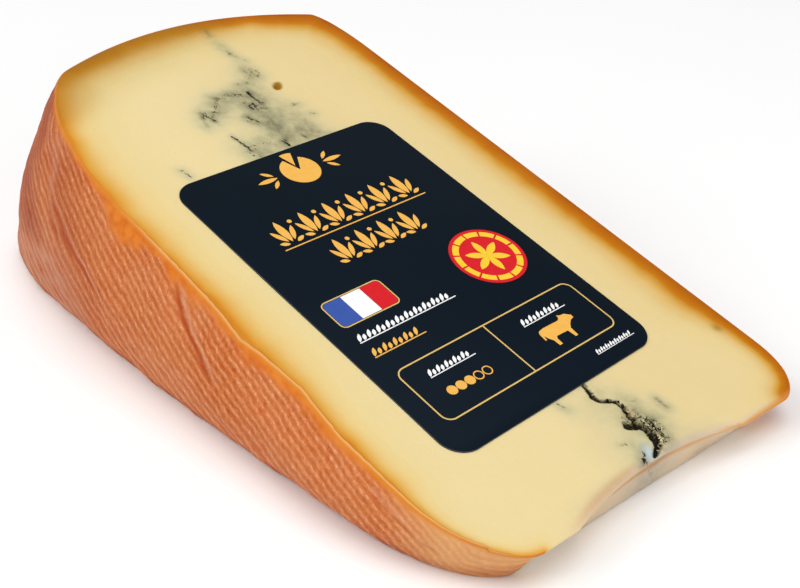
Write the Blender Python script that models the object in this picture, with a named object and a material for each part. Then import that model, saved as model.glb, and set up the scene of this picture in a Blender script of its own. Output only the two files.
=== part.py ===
# A wedge of morbier: a washed-rind cow's milk cheese with a line of ash through its middle.
#
# The wheel lay flat while it ripened, so its two flat sides are marked by the linen it was
# wrapped in. A knife cut this wedge through the whole height of the wheel, and the wedge now
# lies on one of its two cut faces. The wheel's height runs along Y, the wheel's axis is the
# line where the two cut faces would meet, and +X points to the thin end.
#
# Three sub-parts:
#   cheese      paste and rind in one piece, with the thin slot that the ash lies in
#   ash_layer   the sheet of vegetable ash that was spread between two layers of curd
#   label       a stiff self-adhesive card on the upper cut face
#
# Every surface point is first worked out in the wheel's own terms: its distance from the
# wheel's axis, its place across the wheel's height, and its share of the wedge's angle,
# which is 0 on the lower cut face and 1 on the upper one. Metres throughout.

import math

import bmesh
import bpy
from mathutils import Vector

# Driving dimensions

WHEEL_HEIGHT = 0.076            # between the wheel's two flat sides
WEDGE_ANGLE = math.radians(16.2)
RIM_TOP = 0.1532                # from the wheel's axis to the rim's corners, upper cut face
RIM_FOOT = 0.1725               # the same on the lower face, where the wedge has spread
RIM_BELLY = 0.0014              # the rim's corners stand out this far at half the wedge's angle
RIM_SWELL_TOP = 0.0080          # how far the rim swells between its corners
RIM_SWELL_FOOT = 0.0030
RIM_SWELL_AT = 0.0030           # the swell's middle, across the wheel
RIM_SWELL_REACH = 0.0330
TIP_TOP = 0.0220                # where the thin end is cut off, upper face
TIP_FOOT = 0.0254               # the same on the lower face
TIP_HOLLOW = 0.0030             # the cut-off end is hollowed towards its middle
TIP_HOLLOW_REACH = 0.0200
TIP_SLANT_TOP = -0.04           # the end isn't quite square to the wheel's sides
TIP_SLANT_FOOT = -0.047

# Corners of a section through the wheel: reach along the radius, reach across the height
RIM_LEFT_TOP = (0.0400, 0.0140)     # the wheel's worn edge, on the linen side that shows
RIM_LEFT_FOOT = (0.0350, 0.0105)
RIM_RIGHT = (0.0160, 0.0032)
TIP_RIGHT = (0.0105, 0.0072)
TIP_LEFT_TOP = (0.0190, 0.0110)
TIP_LEFT_FOOT = (0.0210, 0.0095)

LINEN_SWELL = 0.0044            # the linen side stands out this far at half the wedge's angle
LINEN_SWELL_FADE = 0.0280       # it starts this far from the thin end
BACK_SWELL = 0.0015             # the other flat side
FOOT_BOW = 0.0020               # the linen side has spread this far at the foot
FOOT_BOW_AT = 0.0930            # its furthest point, from the wheel's axis
FOOT_BOW_REACH = 0.0540
FOOT_INSET = 0.0011             # the lower edge is pressed in and rolled up
FOOT_ROLL = 0.0065              # height of that roll
FOOT_FADE = 0.030               # the roll grows over this length from the thin end
FOOT_LEAST = 0.2                # share of the roll that the thin end itself has
FACE_FLAT = 0.75                # the flat sides swell beyond this share of the half height
CUT_EDGE = 0.0004               # the knife's edge is only just broken
ROLL_DROP = 0.0007              # the thin end's upper edge is rubbed over
ROLL_LENGTH = 0.0045

# Creases that the linen pressed into the left side: points (x, z) from the wheel's axis
CREASES = (
    ((-0.1328, 0.0265), (-0.1272, 0.0203), (-0.1184, 0.0134)),
    ((-0.0921, 0.0250), (-0.0889, 0.0179), (-0.0829, 0.0110)),
    ((-0.0459, 0.0108), (-0.0354, 0.0071)),
)
CREASE_DEPTH = 0.0009
CREASE_WIDTH = 0.0022
CREASE_FADE = 0.80              # the creases run out between this share of the angle and the cut
CREASE_SIDE = -0.90             # only points beyond this share of the half height are creased

# The ash: its line on the upper cut face, from the thin end to the rim, as (radius, across)
ASH_LINE = (
    (0.0220, 0.0000), (0.0250, 0.0008), (0.0275, 0.0038), (0.0355, 0.0041), (0.0385, 0.0016),
    (0.0425, 0.0022), (0.0680, -0.0008), (0.0920, 0.0018), (0.1160, 0.0002), (0.1300, 0.0016),
    (0.1400, 0.0086), (0.1560, 0.0092),
)
ASH_START = 0.0262
ASH_END = 0.1520                # the ash stops short of the rind
ASH_HALF = 0.0005               # half the sheet's thickness
ASH_TAPER = 0.004               # it thins out over this length at the rim
ASH_BLUNT = 0.35                # share of the taper's square that is left at its very end
ASH_WAVE = 0.0014               # how far the sheet wanders below the cut
ASH_WAVE_LENGTH = 0.052
ASH_WAVE_TURN = 2.2             # radians by which the wandering shifts from cut to cut
ASH_RECESS = 0.0002             # the ash lies a little below the cut face
GAP = 0.0003                    # left between pieces that touch
SLOT_SPARE = 0.0030             # how far the slot's cutter stands out of the wedge

# The crack in the thin end, where the sheet has parted and crumbles
CRACK_FROM = 0.0255
CRACK_TO = 0.0395
CRACK_HALF = 0.0007             # extra half width at the cut face
CRACK_DEPTH = 0.0012            # how far the ash lies down in it
CRACK_SHARE = 0.45              # the sheet parts above this share of the wedge's angle

# The one small eye in the paste
EYE_PLACE = (0.1338, 0.0105)
EYE_RADIUS = 0.0013
EYE_SINK = 0.0002               # its middle lies this far below the cut face

# The label on the upper cut face
LABEL_CENTRE = (0.0785, -0.0027)
LABEL_LENGTH = 0.0734
LABEL_WIDTH = 0.0491
LABEL_CORNER = 0.0044
LABEL_THICKNESS = 0.0004
LABEL_TURN = math.radians(-0.9)

# Fineness of the surfaces
SIDE_STEPS = 52
BACK_STEPS = 22
CORNER_STEPS = 8
END_STEPS = 10
TIP_STEPS = 12
FOOT_LEVELS = (0.0, 0.03, 0.07, 0.12, 0.18)
UPPER_LEVELS = 11
LAST_LEVEL = 0.985              # the last section below the cut face's edge
TOP_RINGS = (0.0014, 0.0028, 0.0048)
ASH_STEPS = 48
SHARP_ANGLE = math.radians(40)
ASH_SHARES = (0.15, 0.3, 0.45, 0.6, 0.75)


def mix(low, high, share):
    return low + (high - low) * share


def clamp(value):
    return min(max(value, 0.0), 1.0)


def smooth(low, high, value):
    share = clamp((value - low) / (high - low))
    return share * share * (3.0 - 2.0 * share)


def line_at(points, radius):
    """Height at one radius of a smooth line through the points, which are in order of radius."""
    last = len(points) - 1
    for i in range(last):
        (r0, y0), (r1, y1) = points[i], points[i + 1]
        if radius <= r1 or i == last - 1:
            before = points[max(i - 1, 0)]
            after = points[min(i + 2, last)]
            slope0 = (y1 - before[1]) / (r1 - before[0])
            slope1 = (after[1] - y0) / (after[0] - r0)
            t = clamp((radius - r0) / (r1 - r0))
            lean = (r1 - r0) * t * (1 - t) * ((1 - t) * slope0 - t * slope1)
            return mix(y0, y1, smooth(0.0, 1.0, t)) + lean


def rim_corner(share):
    """Distance of the rim's corners from the wheel's axis."""
    return mix(RIM_FOOT, RIM_TOP, share) + RIM_BELLY * math.sin(math.pi * share)


def rim_at(across, share):
    """Distance of the rim from the wheel's axis."""
    swell = mix(RIM_SWELL_FOOT, RIM_SWELL_TOP, share)
    return rim_corner(share) + swell * clamp(1 - ((across - RIM_SWELL_AT) / RIM_SWELL_REACH) ** 2)


def tip_at(across, share):
    """Distance of the thin end from the wheel's axis."""
    hollow = TIP_HOLLOW * share * clamp(1 - (across / TIP_HOLLOW_REACH) ** 2)
    slant = mix(TIP_SLANT_FOOT, TIP_SLANT_TOP, share) * across
    return mix(TIP_FOOT, TIP_TOP, share) + hollow + slant


def wheel_point(radius, across, share):
    """A point of the wheel as the wedge lies, with the droop of the thin end."""
    angle = WEDGE_ANGLE * share
    near_tip = clamp(1.0 - (radius - tip_at(across, 1.0)) / ROLL_LENGTH)
    droop = ROLL_DROP * (min(share, 1.0) * near_tip) ** 2
    return Vector((-radius * math.cos(angle), across, radius * math.sin(angle) - droop))


def corner(centre, reach, start, steps):
    """A quarter of an ellipse, without its last point."""
    points = []
    for i in range(steps):
        angle = start + math.pi / 2 * i / steps
        points.append((centre[0] + reach[0] * math.cos(angle), centre[1] + reach[1] * math.sin(angle)))
    return points


def run(first, last, steps):
    """A straight run of points, without its last one."""
    return [(mix(first[0], last[0], i / steps), mix(first[1], last[1], i / steps)) for i in range(steps)]


def outline(share, inset=0.0):
    """Points (radius, across) round the wedge at one share of its angle, from the thin end's left corner."""
    half = WHEEL_HEIGHT / 2 - inset
    rim = rim_corner(share) - inset
    tip = mix(TIP_FOOT, TIP_TOP, share) + inset
    rim_left = [mix(a, b, share) for a, b in zip(RIM_LEFT_FOOT, RIM_LEFT_TOP)]
    tip_left = [mix(a, b, share) for a, b in zip(TIP_LEFT_FOOT, TIP_LEFT_TOP)]
    corners = (rim_left, RIM_RIGHT, TIP_RIGHT, tip_left)
    rl, rr, tr, tl = [[max(r - inset, inset / 4) for r in pair] for pair in corners]
    points = run((tip + tl[0], -half), (rim - rl[0], -half), SIDE_STEPS)
    points += corner((rim - rl[0], -half + rl[1]), rl, -math.pi / 2, CORNER_STEPS)
    points += run((rim, -half + rl[1]), (rim, half - rr[1]), END_STEPS)
    points += corner((rim - rr[0], half - rr[1]), rr, 0.0, CORNER_STEPS)
    points += run((rim - rr[0], half), (tip + tr[0], half), BACK_STEPS)
    points += corner((tip + tr[0], half - tr[1]), tr, math.pi / 2, CORNER_STEPS)
    points += run((tip, half - tr[1]), (tip, -half + tl[1]), TIP_STEPS)
    points += corner((tip + tl[0], -half + tl[1]), tl, math.pi, CORNER_STEPS)
    bent = []
    for radius, across in points:
        outer = smooth(rim - rl[0], rim, radius) * (rim_at(across, share) - rim_corner(share))
        inner = smooth(tip + tl[0], tip, radius) * (tip_at(across, share) - mix(TIP_FOOT, TIP_TOP, share))
        bent.append((radius + outer + inner, across))
    return bent


def distance_to(path, x, z):
    nearest = 1.0
    for (x0, z0), (x1, z1) in zip(path, path[1:]):
        length = math.hypot(x1 - x0, z1 - z0)
        along = clamp(((x - x0) * (x1 - x0) + (z - z0) * (z1 - z0)) / length ** 2)
        nearest = min(nearest, math.hypot(x - mix(x0, x1, along), z - mix(z0, z1, along)))
    return nearest


def side_point(radius, across, share):
    """A point of the rind or of the thin end, with the swell, the foot's roll and the creases."""
    rim = rim_at(across, share)
    tip = tip_at(across, share)
    height = radius * math.sin(WEDGE_ANGLE * share)
    roll = min(FOOT_ROLL, radius * math.sin(WEDGE_ANGLE) / 2)
    grown = mix(FOOT_LEAST, 1.0, clamp((radius - tip) / FOOT_FADE))
    inset = FOOT_INSET * grown * (1 - math.sqrt(1 - clamp(1 - height / roll) ** 2))
    side = across / (WHEEL_HEIGHT / 2)
    middle = clamp((radius - tip) / LINEN_SWELL_FADE) * clamp((rim - radius) / RIM_LEFT_TOP[0])
    swell = math.sin(math.pi * share) * middle * (BACK_SWELL if side > 0 else LINEN_SWELL)
    if side < 0:
        swell += FOOT_BOW * (1 - share) ** 2 * clamp(1 - ((radius - FOOT_BOW_AT) / FOOT_BOW_REACH) ** 2) ** 2
    radius -= inset * (2 * radius - rim - tip) / (rim - tip)
    across += math.copysign(swell * smooth(FACE_FLAT, 1.0, abs(side)), side) - inset * side
    point = wheel_point(radius, across, share)
    if side < CREASE_SIDE:
        depth = CREASE_DEPTH * (1 - smooth(CREASE_FADE, LAST_LEVEL, share))
        for path in CREASES:
            point.y += depth * math.exp(-(distance_to(path, point.x, point.z) / CREASE_WIDTH) ** 2)
    return point


def new_object(name, verts, faces, colours, face_colours=None):
    mesh = bpy.data.meshes.new(name)
    mesh.from_pydata([tuple(v) for v in verts], [], faces)
    for title, colour, roughness in colours:
        material = bpy.data.materials.new(title)
        material.use_nodes = True
        shader = material.node_tree.nodes["Principled BSDF"]
        shader.inputs["Base Color"].default_value = (*colour, 1.0)
        shader.inputs["Roughness"].default_value = roughness
        shader.inputs["Metallic"].default_value = 0.0
        material.diffuse_color = (*colour, 1.0)
        mesh.materials.append(material)
    if face_colours:
        mesh.polygons.foreach_set("material_index", face_colours)
    bm = bmesh.new()
    bm.from_mesh(mesh)
    bmesh.ops.recalc_face_normals(bm, faces=bm.faces)
    bm.to_mesh(mesh)
    bm.free()
    obj = bpy.data.objects.new(name, mesh)
    bpy.context.collection.objects.link(obj)
    return obj


def strip(faces, lower, upper, count):
    """Quads between two rings of the same number of points."""
    for i in range(count):
        j = (i + 1) % count
        faces.append((lower + i, lower + j, upper + j, upper + i))


def make_cheese():
    """Sections through the wheel, skinned from the lower cut face to the upper one."""
    top = FOOT_LEVELS[-1]
    levels = list(FOOT_LEVELS) + [mix(top, LAST_LEVEL, (i + 1) / UPPER_LEVELS) for i in range(UPPER_LEVELS)]
    verts = []
    for share in levels:
        verts += [side_point(r, y, share) for r, y in outline(share)]
    verts += [wheel_point(r, y, 1.0) for r, y in outline(1.0, CUT_EDGE)]
    for inset in TOP_RINGS:
        verts += [wheel_point(r, y, 1.0) for r, y in outline(1.0, inset)]
    count = len(outline(0.0))
    rings = len(verts) // count
    faces = []
    for ring in range(rings - 1):
        strip(faces, ring * count, (ring + 1) * count, count)
    tip_first = count - CORNER_STEPS - TIP_STEPS
    rind = []
    for ring in range(rings - 1):
        side = ring < len(levels)
        rind += [1 if side and not tip_first <= i < tip_first + TIP_STEPS else 0 for i in range(count)]
    faces += [tuple(range(count)), tuple(range((rings - 1) * count, rings * count))]
    rind += [0, 0]
    colours = (("paste", (0.86, 0.70, 0.36), 0.42), ("washed_rind", (0.60, 0.25, 0.11), 0.60))
    return new_object("cheese", verts, faces, colours, rind)


def ash_across(radius, share):
    """Where the ash lies across the wheel: on its line at the cut, and wandering below it."""
    turn = 2 * math.pi * radius / ASH_WAVE_LENGTH
    wander = math.sin(turn + ASH_WAVE_TURN * (1 - share)) - math.sin(turn)
    return line_at(ASH_LINE, radius) + ASH_WAVE * wander


def crack_at(radius):
    """How far the sheet has parted, from 0 to 1."""
    middle = (CRACK_FROM + CRACK_TO) / 2
    return clamp(1 - ((radius - middle) / (middle - CRACK_FROM)) ** 2)


def ash_half(radius, share):
    taper = math.sqrt(clamp((ASH_END - radius) / ASH_TAPER + ASH_BLUNT))
    return ASH_HALF * taper + CRACK_HALF * crack_at(radius) * smooth(CRACK_SHARE, 1.0, share)


def make_sheet(name, radii, low, high, spare, colours):
    """A sheet along the ash's line, from one share of the wedge's angle to another at each radius."""
    verts = []
    for radius in radii:
        for share in (low(radius), *ASH_SHARES, high(radius)):
            middle = ash_across(radius, share)
            half = ash_half(radius, share) + spare
            verts.append(wheel_point(radius, middle - half, share))
            verts.append(wheel_point(radius, middle + half, share))
    levels = len(ASH_SHARES) + 1
    row = 2 * (levels + 1)
    faces = []
    for i in range(len(radii) - 1):
        for j in range(levels):
            a = i * row + 2 * j
            faces.append((a, a + row, a + row + 2, a + 2))
            faces.append((a + 1, a + 3, a + row + 3, a + row + 1))
        foot = i * row
        head = foot + row - 2
        faces.append((foot, foot + 1, foot + row + 1, foot + row))
        faces.append((head, head + row, head + row + 1, head + 1))
    end = (len(radii) - 1) * row
    for j in range(0, 2 * levels, 2):
        faces.append((j, j + 2, j + 3, j + 1))
        faces.append((end + j, end + j + 1, end + j + 3, end + j + 2))
    return new_object(name, verts, faces, colours)


def ash_radii():
    return [mix(ASH_START, ASH_END, i / ASH_STEPS) for i in range(ASH_STEPS + 1)]


def ash_top(radius):
    sunk = ASH_RECESS + CRACK_DEPTH * crack_at(radius)
    return 1.0 - sunk / (radius * WEDGE_ANGLE)


def ash_bottom(radius):
    return GAP / (radius * WEDGE_ANGLE)


def slot_top(radius):
    return 1.0 + SLOT_SPARE / (radius * WEDGE_ANGLE)


def slot_bottom(radius):
    return -SLOT_SPARE / (radius * WEDGE_ANGLE)


def make_ash():
    """The sheet of ash, from just inside the thin end to just short of the rind."""
    colours = (("vegetable_ash", (0.035, 0.035, 0.030), 0.85),)
    return make_sheet("ash_layer", ash_radii(), ash_bottom, ash_top, 0.0, colours)


def cut_slot(cheese):
    """The slot for the ash, open at the thin end and at both cut faces."""
    radii = [TIP_TOP - SLOT_SPARE, *ash_radii(), ASH_END + GAP]
    take_away(cheese, make_sheet("slot_cutter", radii, slot_bottom, slot_top, GAP, ()))


def cut_eye(cheese):
    """A small round hole left by gas in the paste."""
    bm = bmesh.new()
    bmesh.ops.create_icosphere(bm, subdivisions=2, radius=EYE_RADIUS)
    mesh = bpy.data.meshes.new("eye_cutter")
    bm.to_mesh(mesh)
    bm.free()
    hole = bpy.data.objects.new("eye_cutter", mesh)
    bpy.context.collection.objects.link(hole)
    hole.location = wheel_point(EYE_PLACE[0], EYE_PLACE[1], 1.0) - Vector((0.0, 0.0, EYE_SINK))
    take_away(cheese, hole)


def take_away(body, cutter):
    cutter.hide_render = True
    cutter.display_type = "WIRE"
    cut = body.modifiers.new(cutter.name, "BOOLEAN")
    cut.operation = "DIFFERENCE"
    cut.solver = "EXACT"
    cut.object = cutter


def make_label():
    """A card with rounded corners, flat on the upper cut face."""
    half_length = LABEL_LENGTH / 2 - LABEL_CORNER
    half_width = LABEL_WIDTH / 2 - LABEL_CORNER
    reach = (LABEL_CORNER, LABEL_CORNER)
    edge = []
    for i, (u, v) in enumerate(((1, 1), (-1, 1), (-1, -1), (1, -1))):
        edge += corner((u * half_length, v * half_width), reach, i * math.pi / 2, CORNER_STEPS)
        last = (i + 1) * math.pi / 2
        end = Vector((math.cos(last), math.sin(last))) * LABEL_CORNER
        edge.append((u * half_length + end.x, v * half_width + end.y))
    normal = Vector((math.sin(WEDGE_ANGLE), 0.0, math.cos(WEDGE_ANGLE)))
    turn_cos = math.cos(LABEL_TURN)
    turn_sin = math.sin(LABEL_TURN)
    verts = []
    for rise in (GAP, GAP + LABEL_THICKNESS):
        for u, v in edge:
            radius = LABEL_CENTRE[0] + u * turn_cos - v * turn_sin
            across = LABEL_CENTRE[1] + u * turn_sin + v * turn_cos
            verts.append(wheel_point(radius, across, 1.0) + rise * normal)
    count = len(edge)
    faces = [tuple(range(count)), tuple(range(count, 2 * count))]
    strip(faces, 0, count, count)
    return new_object("label", verts, faces, (("navy_card", (0.012, 0.018, 0.028), 0.35),))


def build():
    for old in list(bpy.data.objects):
        bpy.data.objects.remove(old)
    cheese = make_cheese()
    cut_slot(cheese)
    cut_eye(cheese)
    make_ash()
    make_label()
    # The wedge stands with the middle of its box over the origin
    xs = [v.co.x for v in cheese.data.vertices]
    ys = [v.co.y for v in cheese.data.vertices]
    shift = Vector(((min(xs) + max(xs)) / -2, (min(ys) + max(ys)) / -2, 0.0))
    for obj in bpy.data.objects:
        obj.location += shift
        obj.data.shade_smooth()
        obj.data.set_sharp_from_angle(angle=SHARP_ANGLE)


build()
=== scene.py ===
# A wedge of morbier, a washed-rind cheese with a line of ash, lying on one cut face.
#
# Sizes are in millimetres and turned to metres where a mesh is made. A point of the cheese is
# worked out in the terms of the wheel it was cut from: its distance from the wheel's axis, its
# place across the wheel's height, and its share of the wedge's angle, 0 on the lower cut face.

import math

import bmesh
import bpy
import numpy as np
from mathutils import Matrix, Vector, geometry


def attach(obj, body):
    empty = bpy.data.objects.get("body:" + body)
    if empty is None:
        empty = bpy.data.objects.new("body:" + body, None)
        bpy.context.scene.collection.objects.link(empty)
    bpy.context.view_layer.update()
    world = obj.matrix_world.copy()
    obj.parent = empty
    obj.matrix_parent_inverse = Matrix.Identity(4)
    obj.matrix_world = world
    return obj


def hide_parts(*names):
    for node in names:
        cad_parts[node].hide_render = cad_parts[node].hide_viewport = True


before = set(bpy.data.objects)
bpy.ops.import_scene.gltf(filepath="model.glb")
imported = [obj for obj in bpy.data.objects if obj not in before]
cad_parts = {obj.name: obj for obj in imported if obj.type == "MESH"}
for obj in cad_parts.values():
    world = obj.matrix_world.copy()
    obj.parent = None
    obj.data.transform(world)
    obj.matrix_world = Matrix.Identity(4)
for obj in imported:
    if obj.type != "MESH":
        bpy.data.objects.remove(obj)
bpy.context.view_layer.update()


# The wheel: a flat round cheese pressed in a hoop, turned out, and ripened on a board with a
# linen cloth round it. A knife cut this wedge out through its whole height and cut off its
# thin end, so the section below is the wheel's own, from the thin end to the rim.

MM = 0.001
AXIS = np.array([97.404, 1.723, 0.0])   # the wheel's axis, in the part's frame
HALF_HEIGHT = 38.0
WEDGE_ANGLE = math.radians(16.2)
RIM_FOOT, RIM_TOP, RIM_BELLY = 172.5, 153.2, 1.4
RIM_SWELL_FOOT, RIM_SWELL_TOP, RIM_SWELL_AT, RIM_SWELL_REACH = 3.0, 8.0, 3.0, 33.0
TIP_FOOT, TIP_TOP, TIP_HOLLOW, TIP_HOLLOW_REACH = 25.4, 22.0, 3.0, 20.0
TIP_SLANT_FOOT, TIP_SLANT_TOP = -0.047, -0.04
RIM_LEFT_FOOT, RIM_LEFT_TOP, RIM_RIGHT = (35.0, 10.5), (40.0, 14.0), (16.0, 3.2)
TIP_LEFT_FOOT, TIP_LEFT_TOP, TIP_RIGHT = (21.0, 9.5), (19.0, 11.0), (10.5, 7.2)
LINEN_SWELL, LINEN_SWELL_FADE, BACK_SWELL, FACE_FLAT = 4.4, 28.0, 1.5, 0.75
FOOT_BOW, FOOT_BOW_AT, FOOT_BOW_REACH = 2.0, 93.0, 54.0
FOOT_INSET, FOOT_ROLL, FOOT_FADE, FOOT_LEAST = 1.1, 6.5, 30.0, 0.2
TIP_DROP, TIP_DROP_LENGTH = 0.7, 4.5
LINEN_STEPS, BACK_STEPS, RIM_STEPS, TIP_STEPS = 225, 64, 60, 90
RIM_LEFT_STEPS, CORNER_STEPS, TIP_LEFT_STEPS = 96, 16, 44
SKIN_LEVELS, LAST_LEVEL = 84, 0.985


def mix(low, high, share):
    return low + (high - low) * share


def smooth(low, high, value):
    share = np.clip((value - low) / (high - low), 0.0, 1.0)
    return share * share * (3.0 - 2.0 * share)


def rim_corner(share):
    return mix(RIM_FOOT, RIM_TOP, share) + RIM_BELLY * np.sin(math.pi * share)


def rim_radius(across, share):
    swell = mix(RIM_SWELL_FOOT, RIM_SWELL_TOP, share)
    return rim_corner(share) + swell * np.clip(1 - ((across - RIM_SWELL_AT) / RIM_SWELL_REACH) ** 2, 0, 1)


def tip_radius(across, share):
    hollow = TIP_HOLLOW * share * np.clip(1 - (across / TIP_HOLLOW_REACH) ** 2, 0, 1)
    return mix(TIP_FOOT, TIP_TOP, share) + hollow + mix(TIP_SLANT_FOOT, TIP_SLANT_TOP, share) * across


def section(share, inset=0.0):
    """Points (radius, across) round the wedge, from the thin end's left corner along the linen side."""
    half = HALF_HEIGHT - inset
    rim = rim_corner(share) - inset
    tip = mix(TIP_FOOT, TIP_TOP, share) + inset
    reaches = (mix(np.array(RIM_LEFT_FOOT), np.array(RIM_LEFT_TOP), share), np.array(RIM_RIGHT),
               np.array(TIP_RIGHT), mix(np.array(TIP_LEFT_FOOT), np.array(TIP_LEFT_TOP), share))
    rl, rr, tr, tl = [np.maximum(r - inset, inset / 4) for r in reaches]

    def run(first, last, steps):
        t = np.arange(steps)[:, None] / steps
        return np.array(first) * (1 - t) + np.array(last) * t

    def corner(centre, reach, start, steps=CORNER_STEPS):
        a = start + math.pi / 2 * np.arange(steps) / steps
        return np.array(centre) + np.stack([reach[0] * np.cos(a), reach[1] * np.sin(a)], 1)

    points = np.concatenate([
        run((tip + tl[0], -half), (rim - rl[0], -half), LINEN_STEPS),
        corner((rim - rl[0], -half + rl[1]), rl, -math.pi / 2, RIM_LEFT_STEPS),
        run((rim, -half + rl[1]), (rim, half - rr[1]), RIM_STEPS),
        corner((rim - rr[0], half - rr[1]), rr, 0.0),
        run((rim - rr[0], half), (tip + tr[0], half), BACK_STEPS),
        corner((tip + tr[0], half - tr[1]), tr, math.pi / 2),
        run((tip, half - tr[1]), (tip, -half + tl[1]), TIP_STEPS),
        corner((tip + tl[0], -half + tl[1]), tl, math.pi, TIP_LEFT_STEPS),
    ])
    radius, across = points[:, 0], points[:, 1]
    outer = smooth(rim - rl[0], rim, radius) * (rim_radius(across, share) - rim_corner(share))
    inner = smooth(tip + tl[0], tip, radius) * (tip_radius(across, share) - mix(TIP_FOOT, TIP_TOP, share))
    return np.stack([radius + outer + inner, across], 1)


def in_wheel(radius, across, share, lift=0.0):
    """Points in millimetres from the wheel's axis, with the droop of the thin end's upper edge."""
    angle = WEDGE_ANGLE * share
    near_tip = np.clip(1 - (radius - tip_radius(across, 1.0)) / TIP_DROP_LENGTH, 0, 1)
    droop = TIP_DROP * (np.minimum(share, 1.0) * near_tip) ** 2
    x = -radius * np.cos(angle) + lift * np.sin(angle)
    z = radius * np.sin(angle) - droop + lift * np.cos(angle)
    return np.stack([x, across + 0.0 * x, z], -1)


def line_distance(points, path):
    """Distance of each point from a path, and its share of the way along it."""
    path = np.array(path, float)
    best = np.full(len(points), 1e9)
    along = np.zeros(len(points))
    for i in range(len(path) - 1):
        step = path[i + 1] - path[i]
        t = np.clip((points - path[i]) @ step / max(step @ step, 1e-9), 0, 1)
        away = np.linalg.norm(points - path[i] - t[:, None] * step, axis=1)
        nearer = away < best
        best[nearer] = away[nearer]
        along[nearer] = i + t[nearer]
    return best, along


def lumps(points, size, seed, octaves=3):
    """Smooth unevenness of about -1 to 1: sines of random directions, halved in size each octave."""
    rng = np.random.default_rng(seed)
    total = np.zeros(len(points))
    for octave in range(octaves):
        for _ in range(6):
            way = rng.normal(size=points.shape[1])
            way *= 2 * math.pi / (size * np.linalg.norm(way)) * rng.uniform(0.7, 1.4) * 2 ** octave
            total += np.sin(points @ way + rng.uniform(0, 2 * math.pi)) / (2.4 * 1.7 ** octave)
    return total / 1.6


# The rind: the wheel's skin, washed with brine while it ripened, which turned it orange. The
# linen pressed its threads into the flat side as fine furrows, with a few deeper creases where
# the cloth was folded, and the knife turned up a thin lip along the cut.

THREAD_PITCH, CROSS_PITCH = 2.05, 1.83
THREAD_DEPTH = 0.028
CLOTH_SLIP = (1.085, 0.834)             # the cloth slid this far along x and z for each mm of swell
CLOTH_MIDDLE = (-90.0, 15.0)            # x and z there; the two sets of threads fan out from it
WARP_WAY, WARP_FAN = (0.59, 0.80), 0.0050
WEFT_WAY, WEFT_FAN = (0.99, -0.13), -0.0080
CREASES = (
    (((-132.8, 26.5), (-130.5, 24.3), (-127.2, 20.3), (-122.8, 16.9), (-118.4, 13.4)), 1.5, 1.0),
    (((-134.6, 24.6), (-132.8, 22.0), (-130.4, 19.2)), 1.3, 0.9),
    (((-92.1, 25.0), (-90.8, 20.9), (-88.9, 17.9), (-85.8, 14.5), (-82.9, 11.0)), 1.3, 1.0),
    (((-45.9, 10.8), (-40.6, 8.5), (-35.4, 7.1)), 0.6, 0.5),
    (((-34.4, 6.9), (-30.5, 6.7)), 0.6, 0.4),
)
FOLD_ASIDE = (1.5, 0.5)                 # the painted highlight on the ridge beside each crease
LIP = (
    (23.8, 1.2), (25.6, 0.5), (41.8, 0.0), (54.6, -0.5), (65.4, 0.6), (74.3, -0.2), (78.4, -1.0),
    (85.1, -0.2), (93.7, 0.1), (111.5, 0.2), (160.0, 0.0),
)
LIP_RISE, LIP_END = 0.13, 108.0
CREASED_SIDE = -30.0                    # the creases lie this far across, on the linen side alone
CREASE_DEPTH, FOLD_WIDTH = 0.16, 0.6
SKIN_LUMP, SKIN_LUMP_SIZE = 0.22, 18.0
# The zone rubbed smooth: x along the cloth, and how far it reaches below the cut
RUBBED_ZONE = (
    (-150, 0.3), (-127, 0.4), (-119, 0.9), (-114, 1.6), (-111, 3.8), (-108, 5.0), (-104, 4.0), (-100, 2.4),
    (-97, 1.8), (-94, 2.6), (-90, 2.2), (-84, 1.0), (-78, 1.3), (-73, 2.2), (-66, 1.8), (-58, 1.4),
    (-48, 0.7), (-25, 0.4),
)


def skin():
    """The wheel's sides as one band of sections, with what each point is, for the colours."""
    shares = LAST_LEVEL * (np.arange(SKIN_LEVELS) / (SKIN_LEVELS - 1)) ** 1.12
    rows, facts = [], []
    for share in shares:
        ring = section(share)
        radius, across = ring[:, 0], ring[:, 1]
        rim, tip = rim_radius(across, share), tip_radius(across, share)
        height = radius * math.sin(WEDGE_ANGLE * share)
        roll = np.minimum(FOOT_ROLL, radius * math.sin(WEDGE_ANGLE) / 2)
        grown = mix(FOOT_LEAST, 1.0, np.clip((radius - tip) / FOOT_FADE, 0, 1))
        inset = FOOT_INSET * grown * (1 - np.sqrt(1 - np.clip(1 - height / roll, 0, 1) ** 2))
        side = across / HALF_HEIGHT
        middle = np.clip((radius - tip) / LINEN_SWELL_FADE, 0, 1)
        middle *= np.clip((rim - radius) / RIM_LEFT_TOP[0], 0, 1)
        swell = math.sin(math.pi * share) * middle * np.where(side > 0, BACK_SWELL, LINEN_SWELL)
        bow = FOOT_BOW * np.clip(1 - ((radius - FOOT_BOW_AT) / FOOT_BOW_REACH) ** 2, 0, 1) ** 2
        swell += bow * (1 - share) ** 2 * (side < 0)
        wave = np.interp(radius, *np.array(LIP).T) * smooth(0.55, 1.0, share) * (side < -0.9)
        moved = radius - inset * (2 * radius - rim - tip) / (rim - tip)
        across = across + swell * smooth(FACE_FLAT, 1.0, np.abs(side)) * np.sign(side) - inset * side + wave
        rows.append(in_wheel(moved, across, share))
        facts.append(np.stack([radius, ring[:, 1], np.full(len(ring), share)], 1))
    return np.array(rows), np.array(facts)


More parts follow.
